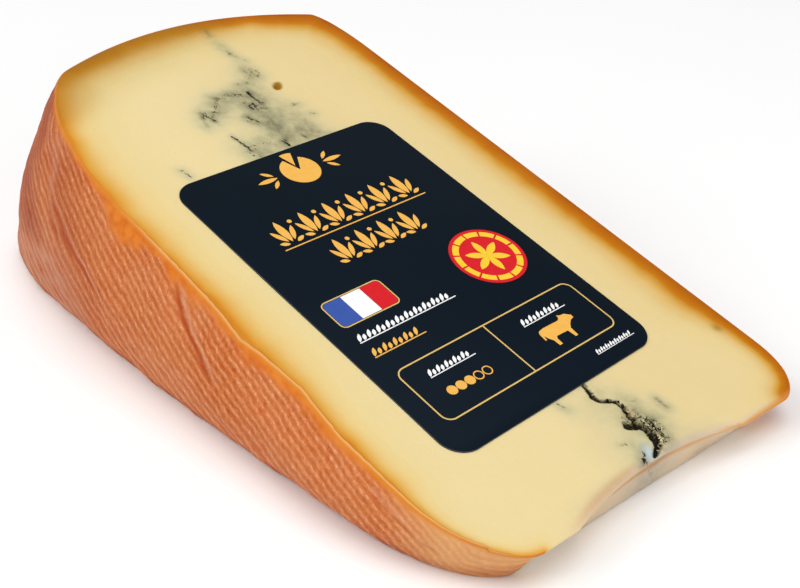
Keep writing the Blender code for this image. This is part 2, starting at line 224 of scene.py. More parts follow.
skin_points, skin_facts = skin()
levels, around = skin_points.shape[:2]
index = np.arange(around)
facet_first = LINEN_STEPS + RIM_LEFT_STEPS + RIM_STEPS + CORNER_STEPS + BACK_STEPS + CORNER_STEPS
on_facet = (index >= facet_first) & (index < facet_first + TIP_STEPS)
on_linen = (index < LINEN_STEPS) | (index >= facet_first + TIP_STEPS)
on_rind = np.repeat(~on_facet[None, :], levels, 0).astype(float)
share_of = skin_facts[..., 2]
below_cut = (1 - share_of) * skin_facts[..., 0] * WEDGE_ANGLE

# The cloth's own plane, unrolled past the worn edge: x and z in the photo's linen side
steps_round = np.diff(skin_points[..., :2], axis=1, prepend=skin_points[:, :1, :2])
unrolled = np.cumsum(np.linalg.norm(steps_round, axis=2), axis=1)
linen_end = slice(LINEN_STEPS - 1, LINEN_STEPS)
past_linen = unrolled - unrolled[:, linen_end]
flat_x = np.where(on_linen, skin_points[..., 0], skin_points[:, linen_end, 0] - past_linen)
slid = np.clip(skin_points[..., 1] + HALF_HEIGHT + 1.5, None, 4.5)
cloth = np.stack([flat_x + CLOTH_SLIP[0] * slid, skin_points[..., 2] + CLOTH_SLIP[1] * slid], -1)
laid = cloth - np.array(CLOTH_MIDDLE)
thread_out = laid @ np.array(WARP_WAY) + WARP_FAN * laid[..., 0] * laid[..., 1]
thread_along = laid @ np.array(WEFT_WAY) + WEFT_FAN * laid[..., 0] * laid[..., 1]

# How smooth the rind is rubbed: a zone under the cut edge, wide near the rim and patchy beyond
flat_points = cloth.reshape(-1, 2)
uneven = lumps(flat_points, 26.0, 4).reshape(levels, around)
ragged = lumps(flat_points, 7.0, 6).reshape(levels, around)
zone_edge = np.interp(cloth[..., 0], *np.array(RUBBED_ZONE).T)
rubbed = 1 - smooth(0.25, 1.35, below_cut / (zone_edge * (1 + 0.25 * uneven + 0.30 * ragged)))

# Each crease: a dark red-brown line, partly the rind's own colour in the fold and partly painted shade in the
# groove, the groove's dip, and the painted highlight beside it
crease_and_shade, crease_dip, fold_highlight = np.zeros((3, levels, around))
for path, width, strength in CREASES:
    away, along = line_distance(flat_points, path)
    beside = line_distance(flat_points, np.array(path) + FOLD_ASIDE)[0]
    ends = np.clip(np.minimum(along, len(path) - 1 - along) * 1.6 + 0.35, 0, 1)
    marks = [(np.exp(-(far / reach) ** 2) * ends).reshape(levels, around) * strength
             for far, reach in ((away, 0.55 * width), (away, width), (beside, FOLD_WIDTH))]
    crease_and_shade, crease_dip, fold_highlight = np.maximum((crease_and_shade, crease_dip, fold_highlight), marks)
creased = skin_facts[..., 1] < CREASED_SIDE
crease_and_shade *= creased
crease_dip *= creased

drift = 0.35 * lumps(flat_points, 14.0, 9).reshape(levels, around)
furrow = 0.5 + 0.5 * np.sin(2 * math.pi * (thread_out + drift) / THREAD_PITCH)
half_step = math.pi * thread_out / THREAD_PITCH     # the weft's beads shift by half at each warp thread
cross = 0.5 + 0.5 * np.sin(2 * math.pi * (thread_along + 1.4 * drift) / CROSS_PITCH + half_step)
press = on_rind * (1 - rubbed) * smooth(0.0, 1.5, below_cut)
relief = press * THREAD_DEPTH * (furrow * (0.88 + 0.12 * cross) * 2 - 1)
low_lumps = lumps(skin_points.reshape(-1, 3), SKIN_LUMP_SIZE, 2).reshape(levels, around)
relief += SKIN_LUMP * low_lumps * smooth(0, 3, below_cut)
relief -= CREASE_DEPTH * crease_dip
ahead = np.roll(skin_points, -1, 1) - np.roll(skin_points, 1, 1)
upward = np.gradient(skin_points, axis=0)
normal = np.cross(upward, ahead)
normal /= np.maximum(np.linalg.norm(normal, axis=-1, keepdims=True), 1e-9)
skin_points = skin_points + normal * relief[..., None] * smooth(0.0, 0.02, share_of)[..., None]


# The cut faces: smooth moist paste, pale in the middle and golden towards the rind, where it
# ripened first. The ash shows here as a dark crack at the thin end and as broken strands in a
# grey-green stain at the rim end, and one small gas hole, an eye, is left in the paste.

CUT_EDGE, LIP_WIDTH = 0.10, 0.26
CRACK = (
    (41.8, 2.2, 0.30, 0.6), (41.0, 2.1, 0.38, 0.8), (40.3, 2.0, 0.46, 0.9), (39.1, 1.4, 0.38, 0.8),
    (38.3, 1.6, 0.33, 0.8), (37.8, 1.9, 0.33, 0.8), (37.3, 2.8, 0.38, 0.8), (36.7, 3.7, 0.42, 0.9),
    (36.1, 4.1, 0.42, 1.0), (35.1, 4.3, 0.42, 1.1), (34.2, 4.0, 0.42, 1.2), (33.2, 3.7, 0.48, 1.3),
    (32.0, 3.6, 0.62, 1.5), (30.9, 3.5, 0.72, 1.6), (29.9, 3.8, 0.60, 1.6), (29.0, 4.0, 0.66, 1.7),
    (27.8, 3.7, 0.78, 1.8), (27.0, 3.4, 0.74, 1.7), (26.3, 2.7, 0.50, 1.4), (25.9, 1.7, 0.42, 1.0),
    (25.5, 0.9, 0.30, 0.6),
)
CRACK_SPUR = ((30.8, 3.4, 0.55, 1.3), (31.1, 2.3, 0.60, 1.1), (31.7, 1.5, 0.50, 0.8), (32.6, 1.7, 0.25, 0.4))
EYE = (133.6, 10.5, 1.60, 0.98, 0.60)    # radius, across, half length askew, half width, depth
NOTCH = (38.0, 34.4, 1.0, 0.8)           # a nick at the back, only painted dark as its shade: radius, across, reach along each
WET_SPOT = (26.0, 0.8, 1.7, 1.1)         # a drop of whey at the crack's end, painted pale blue-grey as its sheen; as above
# Strands of ash: points (radius, across), half width, strength
STRANDS = (
    (((157.2, 9.3), (155.2, 9.0)), 0.40, 0.62),
    (((151.6, 8.9), (148.2, 8.8), (146.0, 9.2), (143.8, 10.3)), 0.50, 0.42),
    (((148.6, 8.7), (147.2, 8.8)), 0.40, 0.62),
    (((141.0, 9.1), (138.9, 8.3), (138.0, 8.6), (138.7, 9.6), (140.3, 9.8)), 0.55, 0.52),
    (((141.4, 7.6), (139.6, 7.6), (138.0, 7.2)), 0.45, 0.46), (((137.5, 2.9), (137.2, 3.6)), 0.45, 0.50),
    (((137.3, 5.0), (136.9, 5.6)), 0.45, 0.50),
    (((134.6, 3.5), (132.9, 3.3), (131.6, 3.6), (129.9, 3.8)), 0.46, 0.86),
    (((134.4, 3.5), (133.4, 3.4)), 0.50, 1.00),
    (((130.2, 0.9), (130.9, 2.1), (129.8, 2.2), (129.0, 0.9), (130.1, 0.9)), 0.42, 0.86),
    (((131.6, 1.2), (131.3, 0.4)), 0.40, 0.66), (((128.6, 2.6), (128.0, 3.4)), 0.40, 0.66),
    (((127.3, -1.7), (126.3, -1.3), (124.9, -0.7)), 0.40, 0.88),
    (((126.3, -2.6), (125.4, -2.2)), 0.40, 0.55),
    (((134.2, 2.4), (134.3, 0.7), (135.3, -1.0), (134.9, -3.2), (135.9, -3.9)), 0.62, 0.60),
    (((135.4, -3.9), (134.9, -2.9)), 0.60, 0.72), (((135.0, 0.6), (134.6, 1.4)), 0.5, 0.66),
    (((134.6, -3.9), (133.3, -4.8), (130.9, -6.0)), 0.60, 0.64),
    (((131.4, -6.1), (131.6, -7.0)), 0.5, 0.70),
    (((132.4, -9.1), (131.0, -8.8), (129.8, -8.4), (128.6, -8.0)), 0.50, 0.78),
    (((131.4, -9.4), (130.4, -9.6)), 0.5, 0.8), (((129.9, -10.0), (128.0, -10.6)), 0.70, 0.50),
    (((130.0, -7.6), (130.9, -7.3)), 0.5, 0.66),
    (((128.7, 1.7), (126.8, 1.7), (124.5, 1.7), (122.0, 1.5), (119.6, 1.1), (117.0, 0.5)), 0.85, 0.47),
    (((117.9, -0.3), (116.0, -0.1)), 0.48, 0.95),
    (((123.3, -8.2), (121.6, -7.9), (120.0, -7.6), (117.9, -7.6)), 0.27, 0.80),
    (((118.6, -7.6), (117.2, -7.3), (115.6, -7.2)), 1.10, 0.50),
    (((119.1, -6.6), (119.5, -4.1), (118.5, -3.3), (117.6, -2.2)), 0.6, 0.40),
    (((121.5, 7.8), (119.2, 7.2), (117.0, 6.4), (115.0, 6.4)), 0.80, 0.42),
    (((117.9, 4.2), (116.4, 4.6)), 0.5, 0.66), (((119.3, 5.0), (118.7, 5.6)), 0.5, 0.60),
    (((126.9, 9.0), (126.7, 10.2)), 0.42, 0.60), (((122.8, 10.7), (122.5, 11.1)), 0.42, 0.56),
    (((117.3, 7.3), (117.0, 7.9)), 0.45, 0.60), (((116.4, 8.9), (115.4, 10.2)), 0.4, 0.44),
    (((118.9, -22.6), (117.5, -22.4), (116.2, -22.2)), 0.42, 0.56),
    (((33.1, 10.5), (31.9, 10.5), (30.7, 10.4)), 0.34, 0.70), (((31.4, 10.6), (30.6, 10.9)), 0.36, 0.58),
    (((26.9, 0.0), (25.9, -1.2), (25.2, -2.2)), 0.34, 0.88), (((26.2, -1.4), (25.6, -1.0)), 0.34, 0.80),
    (((29.8, -2.6), (29.2, -1.2)), 0.30, 0.46), (((41.3, -4.8), (39.9, -4.2)), 0.34, 0.55),
    (((35.0, 6.2), (34.4, 7.2)), 0.30, 0.44), (((33.4, 5.2), (32.2, 5.3), (31.4, 5.0)), 0.62, 0.62),
    (((30.8, 5.6), (30.0, 6.5), (29.2, 6.2)), 0.66, 0.72),
    (((29.6, 4.9), (28.6, 5.4), (28.2, 6.6)), 0.58, 0.74),
    (((27.9, 5.0), (27.0, 5.4), (26.3, 4.4)), 0.50, 0.66), (((32.9, 2.9), (32.4, 2.3)), 0.50, 0.66),
    (((34.0, 3.0), (33.2, 2.4)), 0.44, 0.52), (((26.6, 6.2), (26.0, 5.0)), 0.36, 0.50),
)
# Grey-green stains round the ash: radius, across, reach along the radius, reach across, strength
STAINS = (
    (147.0, 8.6, 6.5, 1.8, 0.36), (139.6, 7.4, 4.4, 3.0, 0.42), (133.2, 4.4, 4.6, 3.6, 0.62),
    (131.0, 0.4, 3.6, 3.6, 0.55), (134.6, -1.6, 2.4, 3.8, 0.50), (131.6, -6.4, 3.4, 2.8, 0.48),
    (129.4, -9.6, 2.8, 2.2, 0.26), (124.5, 2.6, 5.4, 3.4, 0.60), (121.0, 0.6, 4.4, 2.6, 0.62),
    (119.0, 6.0, 4.6, 3.8, 0.58), (117.6, -5.8, 3.2, 3.4, 0.55), (125.6, 7.0, 4.4, 3.2, 0.34),
    (115.2, 2.0, 3.2, 8.0, 0.34), (126.0, -1.2, 2.4, 1.8, 0.34), (39.6, 2.4, 3.6, 2.4, 0.32),
    (36.0, 0.2, 5.6, 4.4, 0.26), (35.0, 5.6, 4.2, 2.6, 0.34), (29.4, 4.6, 4.4, 3.8, 0.46),
    (27.2, 0.4, 2.6, 3.4, 0.40), (40.0, -4.4, 3.0, 2.4, 0.20), (29.4, -4.5, 5.0, 4.6, 0.16),
    (31.6, 10.6, 2.0, 1.2, 0.22), (25.4, -11.0, 1.6, 8.0, 0.20), (24.6, 10.0, 1.8, 7.0, 0.22),
    (118.0, -22.4, 2.0, 0.9, 0.14), (131.0, -2.5, 9.0, 7.5, 0.17), (122.5, 1.5, 9.0, 8.0, 0.17),
    (118.0, -4.0, 6.0, 7.0, 0.14), (31.0, 7.0, 6.0, 4.5, 0.20),
)
UNDER_LINE = ((23.0, 0.4), (45.0, 0.2), (70.0, -1.4), (95.0, 0.8), (120.0, 1.6), (140.0, 5.6), (160.0, 7.0))


def crack_depth(points):
    """How far the cut face dips, and how black it is, over the crack and its spur."""
    depth = np.zeros(len(points))
    black = np.zeros(len(points))
    near = points[:, 0] < 46
    ragged = 1 + 0.22 * lumps(points[near], 1.6, 21, 3)
    for path in (CRACK, CRACK_SPUR):
        path = np.array(path)
        away, along = line_distance(points[near], path[:, :2])
        half = np.interp(along, np.arange(len(path)), path[:, 2]) * ragged
        deep = np.interp(along, np.arange(len(path)), path[:, 3])
        depth[near] = np.maximum(depth[near], deep * (1 - smooth(0.35 * half, 1.05 * half, away)))
        black[near] = np.maximum(black[near], 1 - smooth(0.80 * half, 1.35 * half + 0.10, away))
    return depth, black


def ash_and_stain(points):
    """How much ash lies at each point of a cut face, and how far it stains the paste there."""
    ash, haze = np.zeros(len(points)), np.zeros(len(points))
    for path, half, strength in STRANDS:
        low, high = np.min(path, 0) - 8 * half, np.max(path, 0) + 8 * half
        near = np.all((points > low) & (points < high), axis=1)
        away = line_distance(points[near], path)[0]
        ash[near] = np.maximum(ash[near], strength * np.exp(-(away / half) ** 2))
        haze[near] = np.maximum(haze[near], 0.55 * strength * np.exp(-(away / (3.2 * half)) ** 2))
    stain = np.zeros(len(points))
    for radius, across, reach, wide, strength in STAINS:
        far = ((points[:, 0] - radius) / reach) ** 2 + ((points[:, 1] - across) / wide) ** 2
        stain = 1 - (1 - stain) * (1 - 0.76 * strength * np.exp(-far))
    return ash, 1 - (1 - stain) * (1 - haze)


def inside(points, loop):
    """Even-odd test of each point against a closed loop."""
    hit = np.zeros(len(points), bool)
    for (x0, y0), (x1, y1) in zip(loop, np.roll(loop, -1, axis=0)):
        crosses = (y0 > points[:, 1]) != (y1 > points[:, 1])
        hit ^= crosses & (points[:, 0] < (x1 - x0) * (points[:, 1] - y0) / (y1 - y0 + 1e-12) + x0)
    return hit


def stations(*stretches):
    """Values along a line, from stretches of (from, to, spacing)."""
    return np.concatenate([np.arange(a, b, step) for a, b, step in stretches])


def face_mesh(loop, radii, heights, margin):
    """A cut face as triangles: the loop's points first, then a grid of points inside it."""
    grid = np.stack(np.meshgrid(radii, heights, indexing="ij"), -1).reshape(-1, 2)
    grid = grid[inside(grid, loop)]
    grid = grid[line_distance(grid, np.vstack([loop, loop[:1]]))[0] > margin]
    points = np.vstack([loop, grid])
    count = len(loop)
    ring = [(i, (i + 1) % count) for i in range(count)]
    found = geometry.delaunay_2d_cdt([Vector(p) for p in points], ring, [], 1, 1e-5, True)
    origin = [ids[0] for ids in found[3]]
    faces = np.array([[origin[i] for i in face] for face in found[2]])
    faces = faces[inside(points[faces].mean(axis=1), loop)]
    (ax, ay), (bx, by) = [(points[faces[:, i]] - points[faces[:, 0]]).T for i in (1, 2)]
    faces = faces[np.abs(ax * by - ay * bx) > 1e-7]
    return points, faces


def rind_distance(points, share):
    """Distance of each point of a cut face from the rind; the cut-off thin end has none."""
    order = np.r_[np.arange(facet_first + TIP_STEPS, around), np.arange(facet_first + 1)]
    return line_distance(points, section(share)[order[::3]])[0]


def hex_colour(text, alpha=1.0):
    """An sRGB hex value as the linear colour that a shader takes."""
    parts = [int(text[i:i + 2], 16) / 255 for i in (1, 3, 5)]
    return (*[p / 12.92 if p <= 0.04045 else ((p + 0.055) / 1.055) ** 2.4 for p in parts], alpha)


def node(tree, kind, inputs=(), output=0, steps=(), **settings):
    """Adds a node with its settings, a ramp's steps, and its inputs: numbers, hex colours or links."""
    made = tree.nodes.new("ShaderNode" + kind)
    for name, value in settings.items():
        setattr(made, name, value)
    for i, (place, colour) in enumerate(steps):
        marks = made.color_ramp.elements
        mark = marks[i] if i < len(marks) else marks.new(place)
        mark.position = place
        mark.color = hex_colour(colour)
    for socket, value in inputs.items() if isinstance(inputs, dict) else enumerate(inputs):
        if isinstance(value, bpy.types.NodeSocket):
            tree.links.new(value, made.inputs[socket])
        else:
            made.inputs[socket].default_value = hex_colour(value) if isinstance(value, str) else value
    return made.outputs[output]


def new_material(name, roughness, ior, **others):
    """A material, its node tree, its shader, and object coordinates in millimetres."""
    material = bpy.data.materials.new(name)
    material.use_nodes = True
    tree = material.node_tree
    shader = tree.nodes["Principled BSDF"]
    for socket, value in {"Roughness": roughness, "IOR": ior, **others}.items():
        shader.inputs[socket.replace("_", " ")].default_value = value
    place = node(tree, "TexCoord", output="Object")
    return material, tree, shader, node(tree, "VectorMath", {0: place, "Scale": 1000.0}, operation="SCALE")


# Paste: cow's milk curd, pressed and ripened for two months, cut with a wire-thin knife. It is
# smooth, moist and a little translucent, so it has a soft satin gloss and no hard shade, and it
# turns golden, then brown, in the last few millimetres before the rind.

cut_paste, tree, shader, mm = new_material("cut_paste", 0.44, 1.44, Subsurface_Weight=0.14,
                                           Subsurface_Scale=0.002, Subsurface_Radius=(1.0, 0.62, 0.30),
                                           Specular_IOR_Level=0.11)
painted = {name: node(tree, "Attribute", output="Fac", attribute_name=name)
           for name in ("to_rind", "back_share", "rim_share", "thin_end", "wrap", "stain", "ash", "eye",
                        "wet_sheen")}
# Clouds by their size in millimetres: specks of ash, pores, clots, smoke, then slow mottling
cloud = {size: node(tree, "TexNoise", {"Vector": mm, "Scale": 1 / size, "Detail": detail, "Roughness": rough})
         for size, detail, rough in ((0.42, 3.0, 0.65), (0.9, 3.0, 0.5), (1.3, 4.0, 0.6), (2.2, 5.0, 0.62),
                                     (6.0, 2.0, 0.5), (7.0, 3.0, 0.5), (9.0, 2.0, 0.5), (24.0, 3.0, 0.5))}
# The brown of the last 16 mm before the rind: by the linen, by the back and by the rim
wandered = node(tree, "Math", (cloud[9.0], 2.6, painted["to_rind"]), operation="MULTIPLY_ADD")
reach = node(tree, "Math", (wandered, -1.3), operation="ADD")
reach = node(tree, "Math", (reach, 16.0), operation="DIVIDE", use_clamp=True)
band = node(tree, "ValToRGB", (reach,), steps=(
    (0.02, "#d28524"), (0.06, "#d89936"), (0.125, "#dcab55"), (0.19, "#e0b96e"), (0.25, "#e3c27c"),
    (0.31, "#e4c886"), (0.50, "#e5cf94"), (1.0, "#e6d29c")))
back_band = node(tree, "ValToRGB", (reach,), steps=(
    (0.0, "#a04e00"), (0.04, "#ac5e00"), (0.125, "#ba6800"), (0.19, "#c17600"), (0.25, "#cb9437"),
    (0.31, "#d4a654"), (0.375, "#dab570"), (0.50, "#ddc386"), (0.625, "#e1c98e"), (1.0, "#e2cc95")))
rim_band = node(tree, "ValToRGB", (reach,), steps=(
    (0.02, "#9c6a26"), (0.06, "#a66d18"), (0.125, "#ad720c"), (0.19, "#b37e1f"), (0.25, "#bb8b3f"),
    (0.31, "#c49b50"), (0.375, "#cca862"), (0.50, "#d5ba7c"), (0.625, "#dbc58a"), (1.0, "#e2ce97")))
facet = node(tree, "Mix", {0: cloud[7.0], 6: "#cfb59a", 7: "#dec9a6"}, 2, data_type="RGBA")
cloudy = node(tree, "Math", (cloud[24.0], reach), operation="MULTIPLY")
cloudy = node(tree, "Math", (cloudy, 0.14), operation="MULTIPLY")
paste = band
for share, colour in ((painted["back_share"], back_band), (painted["rim_share"], rim_band),
                      (cloudy, "#e0ca92"), (painted["thin_end"], facet), (painted["wrap"], "#cf8a3c")):
    paste = node(tree, "Mix", {0: share, 6: paste, 7: colour}, 2, data_type="RGBA")

# The ash stains the paste round it grey-green, as smoke would, and lies in it as specks
mottled = node(tree, "Math", (cloud[2.2], 1.5, 0.25), operation="MULTIPLY_ADD")
stained = node(tree, "Math", (painted["stain"], mottled), operation="MULTIPLY", use_clamp=True)
tint = node(tree, "ValToRGB", (stained,), steps=(
    (0.0, "#ffffff"), (0.18, "#f2f7ff"), (0.40, "#dde7f2"), (0.70, "#b6c2cd"), (1.0, "#8c99a4")))
paste = node(tree, "Mix", {0: 1.0, 6: paste, 7: tint}, 2, data_type="RGBA", blend_type="MULTIPLY")
rough_soot = node(tree, "Math", (cloud[0.42], 1.1, -1.20), operation="MULTIPLY_ADD")
rough_soot = node(tree, "Math", (cloud[1.3], 1.3, rough_soot), operation="MULTIPLY_ADD")
soot = node(tree, "Math", (rough_soot, painted["ash"]), operation="ADD")
present = node(tree, "MapRange", (painted["ash"], 0.04, 0.30), interpolation_type="SMOOTHSTEP")
for low, high, most, colour in ((0.15, 0.95, 0.55, "#655a3c"), (0.66, 1.10, 1.0, "#221b0b")):
    share = node(tree, "MapRange", (soot, low, high, 0.0, most), interpolation_type="SMOOTHSTEP")
    share = node(tree, "Math", (share, present), operation="MULTIPLY")
    paste = node(tree, "Mix", {0: share, 6: paste, 7: colour}, 2, data_type="RGBA")
# Dark gold for painted shade in the eye's hollow and in the nick; pale blue-grey for a painted sheen on the
# drop of whey
for name, colour in (("eye", "#946a00"), ("wet_sheen", "#b9cbd2")):
    paste = node(tree, "Mix", {0: painted[name], 6: paste, 7: colour}, 2, data_type="RGBA")
tree.links.new(paste, shader.inputs["Base Color"])
pores = node(tree, "Math", (cloud[6.0], 2.0, cloud[0.9]), operation="MULTIPLY_ADD")
bump = node(tree, "Bump", {"Height": pores, "Strength": 0.10, "Distance": 0.0006})
tree.links.new(bump, shader.inputs["Normal"])

# Washed rind: dried paste skin, orange from brine and smear, with a thin pale bloom on the ridges
# that the linen's threads left and painted shade in the furrows between. It is dull, and slightly greasy
# where rubbed smooth.

washed_rind, tree, shader, mm = new_material("washed_rind", 0.60, 1.45, Subsurface_Weight=0.05,
                                             Subsurface_Scale=0.0015, Subsurface_Radius=(1.0, 0.45, 0.22),
                                             Specular_IOR_Level=0.13)
painted = {name: node(tree, "Attribute", output="Fac", attribute_name=name)
           for name in ("thread_out", "thread_along", "press", "rubbed", "crease_and_shade", "bloom_and_sheen", "ruddy_and_shade",
                        "tip_tan", "cut_edge", "lip_and_highlight")}
# Clouds by their size in millimetres: grain, fluff, smear, blotches, sway of the threads, patches
cloud = {size: node(tree, "TexNoise", {"Vector": mm, "Scale": 1 / size, "Detail": detail, "Roughness": rough})
         for size, detail, rough in ((0.38, 3.0, 0.65), (0.8, 4.0, 0.62), (2.2, 3.0, 0.5), (3.0, 3.0, 0.6),
                                     (5.0, 3.0, 0.5), (13.0, 4.0, 0.6))}
# Threads: along the warp, its three plies, and the weft, whose beads sit between the warp's
drawn_out = node(tree, "Math", (painted["thread_along"], 0.30), operation="MULTIPLY")
drawn_out = node(tree, "CombineXYZ", (painted["thread_out"], drawn_out))
fibre = node(tree, "TexNoise", {"Vector": drawn_out, "Scale": 1 / 0.6, "Detail": 3.0, "Roughness": 0.6})
thread = node(tree, "Math", (cloud[0.8], 0.85, -0.20), operation="MULTIPLY_ADD")
thread = node(tree, "Math", (fibre, 0.55, thread), operation="MULTIPLY_ADD")
thread = node(tree, "Math", (cloud[0.38], 0.55, thread), operation="MULTIPLY_ADD")
offset = node(tree, "Math", (painted["thread_out"], math.pi / THREAD_PITCH), operation="MULTIPLY")
for place, pitch, sway, shift, share in (("thread_out", THREAD_PITCH, 1.5, 0.0, 0.19),
                                         ("thread_out", THREAD_PITCH / 3, 1.5, 1.0, 0.04),
                                         ("thread_along", CROSS_PITCH, 1.6, offset, 0.045)):
    swayed = node(tree, "Math", (cloud[5.0], sway, painted[place]), operation="MULTIPLY_ADD")
    turned = node(tree, "Math", (swayed, 2 * math.pi / pitch, shift), operation="MULTIPLY_ADD")
    wave = node(tree, "Math", (turned,), operation="SINE")
    thread = node(tree, "Math", (wave, share, thread), operation="MULTIPLY_ADD")
thread = node(tree, "Math", (thread, 0.27), operation="SUBTRACT", use_clamp=True)
# The threads' colour, from dark furrow to pale crest: pale bloom on the ridges, painted shade in the furrows
thread_bloom_and_shade = node(tree, "ValToRGB", (thread,), steps=(
    (0.0, "#983c0c"), (0.25, "#b05520"), (0.50, "#c26a34"), (0.75, "#d28658"), (1.0, "#e6ac8a")))
patch = node(tree, "MapRange", (cloud[13.0], 0.30, 0.70), interpolation_type="SMOOTHSTEP")
blotch = node(tree, "MapRange", (cloud[3.0], 0.58, 0.74, 0.0, 0.45), interpolation_type="SMOOTHSTEP")
warm = node(tree, "MapRange", (cloud[2.2], 0.3, 0.7), interpolation_type="SMOOTHSTEP")
orange = node(tree, "Mix", {0: warm, 6: "#ca640e", 7: "#da7e28"}, 2, data_type="RGBA")
skin_tone = node(tree, "Mix", {0: patch, 6: "#bf6428", 7: "#cc7c42"}, 2, data_type="RGBA")
ridge = node(tree, "Math", (thread, -0.55, 1.0), operation="MULTIPLY_ADD")
for share, most, colour in ((painted["press"], 1.0, thread_bloom_and_shade), (patch, 0.22, "#d8986a"),
                            # the bloom: partly the rind's own, partly painted sheen and the painted highlight
                            # beside the creases
                            (blotch, 1.0, "#c4562a"), (painted["bloom_and_sheen"], 0.62, "#dba98c"),
                            (painted["tip_tan"], 0.60, "#deae74")):
    share = node(tree, "Math", (share, most), operation="MULTIPLY")
    skin_tone = node(tree, "Mix", {0: share, 6: skin_tone, 7: colour}, 2, data_type="RGBA")
# The redder zones, stronger in the furrows: the rind's own redder patches, with painted shade along the foot
# and in the furrows
ruddy_and_shade = node(tree, "Math", (painted["ruddy_and_shade"], ridge), operation="MULTIPLY", use_clamp=True)
for share, most, colour in ((ruddy_and_shade, 1.0, "#983c10"), (painted["rubbed"], 0.95, orange),
                            # the creases' dark line: partly the rind's own colour, partly painted shade in
                            # the groove
                            (painted["crease_and_shade"], 0.90, "#a43c06"), (painted["cut_edge"], 0.85, "#cf8128"),
                            # the lip's pale line: painted highlight on the raised edge
                            (painted["lip_and_highlight"], 0.70, "#ecbf80")):
    share = node(tree, "Math", (share, most), operation="MULTIPLY")
    skin_tone = node(tree, "Mix", {0: share, 6: skin_tone, 7: colour}, 2, data_type="RGBA")
tree.links.new(skin_tone, shader.inputs["Base Color"])
pressed = node(tree, "Math", (thread, painted["press"]), operation="MULTIPLY")
grain = node(tree, "Math", (cloud[0.38], 0.45, pressed), operation="MULTIPLY_ADD")
bump = node(tree, "Bump", {"Height": grain, "Strength": 0.50, "Distance": 0.00018})
tree.links.new(bump, shader.inputs["Normal"])


# The whole wedge as one closed mesh: the skin, the broken edge along the cut with its lip, and
# the two cut faces. What each point is, such as its distance from the rind, is painted on it.

FACET_WIDTH = 56.0                      # the cut-off thin end, from corner to corner
FACE_WAVE, FACE_WAVE_SIZE = 0.10, 30.0
LABEL_CENTRE = (78.5, -2.7)             # the face is pressed flat under the label

top_ring = section(1.0, CUT_EDGE)
inner_ring = section(1.0, LIP_WIDTH)
linen_here = smooth(-30.0, -34.0, top_ring[:, 1]) * smooth(LIP_END + 8, LIP_END - 6, top_ring[:, 0])
edge_wave = np.interp(top_ring[:, 0], *np.array(LIP).T) * (top_ring[:, 1] < -0.9 * HALF_HEIGHT)
top_ring[:, 1] += edge_wave
inner_ring[:, 1] += edge_wave
ragged_edge = 0.10 * lumps(top_ring, 5.0, 33) * linen_here
edge_points = in_wheel(top_ring[:, 0], top_ring[:, 1] + ragged_edge, 1.0, linen_here * LIP_RISE)
inner_points = in_wheel(inner_ring[:, 0], inner_ring[:, 1] + 0.5 * ragged_edge, 1.0, linen_here * 0.04)

upper, upper_faces = face_mesh(
    inner_ring, stations((22.0, 46.0, 0.36), (46.0, 112.0, 1.1), (112.0, 162.0, 0.42)),
    stations((-38.0, -12.0, 0.75), (-12.0, 13.0, 0.34), (13.0, 38.0, 0.75)), 0.30)
dip, black = crack_depth(upper)
radius_of, across_of = upper.T
askew = np.stack([radius_of - EYE[0], across_of - EYE[1]]) * math.sqrt(0.5)
hole = np.hypot((askew[0] + askew[1]) / EYE[2], (askew[0] - askew[1]) / EYE[3])
from_edge = line_distance(upper, np.vstack([inner_ring, inner_ring[:1]]))[0]
under_label = smooth(26.0, 23.0, np.abs(across_of - LABEL_CENTRE[1]))
under_label *= smooth(40.0, 35.0, np.abs(radius_of - LABEL_CENTRE[0]))
lift = FACE_WAVE * lumps(upper, FACE_WAVE_SIZE, 5, 2) * smooth(0.0, 6.0, from_edge) * (1 - 0.8 * under_label)
lift -= dip + EYE[4] * (1 - smooth(0.35, 1.05, hole))
upper_ash, upper_stain = ash_and_stain(upper)
lift -= 0.10 * np.clip(upper_ash - 0.4, 0, 1)
upper_points = in_wheel(radius_of, across_of, 1.0, lift)
upper_points[:around] = inner_points

foot_ring = np.stack([-skin_points[0, :, 0], skin_points[0, :, 1]], 1)
under, under_faces = face_mesh(
    foot_ring, stations((26.0, 176.0, 1.3)),
    stations((-39.5, -10.0, 1.3), (-10.0, 14.0, 0.5), (14.0, 38.0, 1.3)), 0.5)
under_points = in_wheel(under[:, 0], under[:, 1], 0.0)

skin_count = levels * around
verts = np.vstack([skin_points.reshape(-1, 3), edge_points, upper_points, under_points[around:]])
quads = []
for level in range(levels + 1):
    low = level * around
    high = low + around
    quads += [(low + i, high + i, high + (i + 1) % around, low + (i + 1) % around) for i in range(around)]
upper_first = skin_count + around
under_first = upper_first + len(upper)
top = [tuple(upper_first + i for i in face[::-1]) for face in upper_faces]
below = [tuple(i if i < around else under_first + i - around for i in face) for face in under_faces]
faces = quads + top + below

mesh = bpy.data.meshes.new("cheese_wedge")
mesh.from_pydata([tuple(p) for p in (verts + AXIS) * MM], [], faces)
wedge = bpy.data.objects.new("cheese_wedge", mesh)
bpy.context.collection.objects.link(wedge)
mesh.materials.append(cut_paste)
mesh.materials.append(washed_rind)
rind_face = np.zeros(len(faces), int)
rind_face[:len(quads)] = np.tile(~on_facet, levels + 1)
mesh.polygons.foreach_set("material_index", rind_face)

zero_skin, zero_edge = np.zeros((levels, around)), np.zeros(around)
zero_upper, zero_under = np.zeros(len(upper)), np.zeros(len(under))


def paint(name, skin_values=zero_skin, edge_values=zero_edge, upper_values=zero_upper,
          under_values=zero_under):
    """Stores one number for each point, for the materials to read."""
    values = np.concatenate([np.ravel(skin_values), edge_values, upper_values, under_values[around:]])
    mesh.attributes.new(name, "FLOAT", "POINT").data.foreach_set("value", values.astype(np.float32))


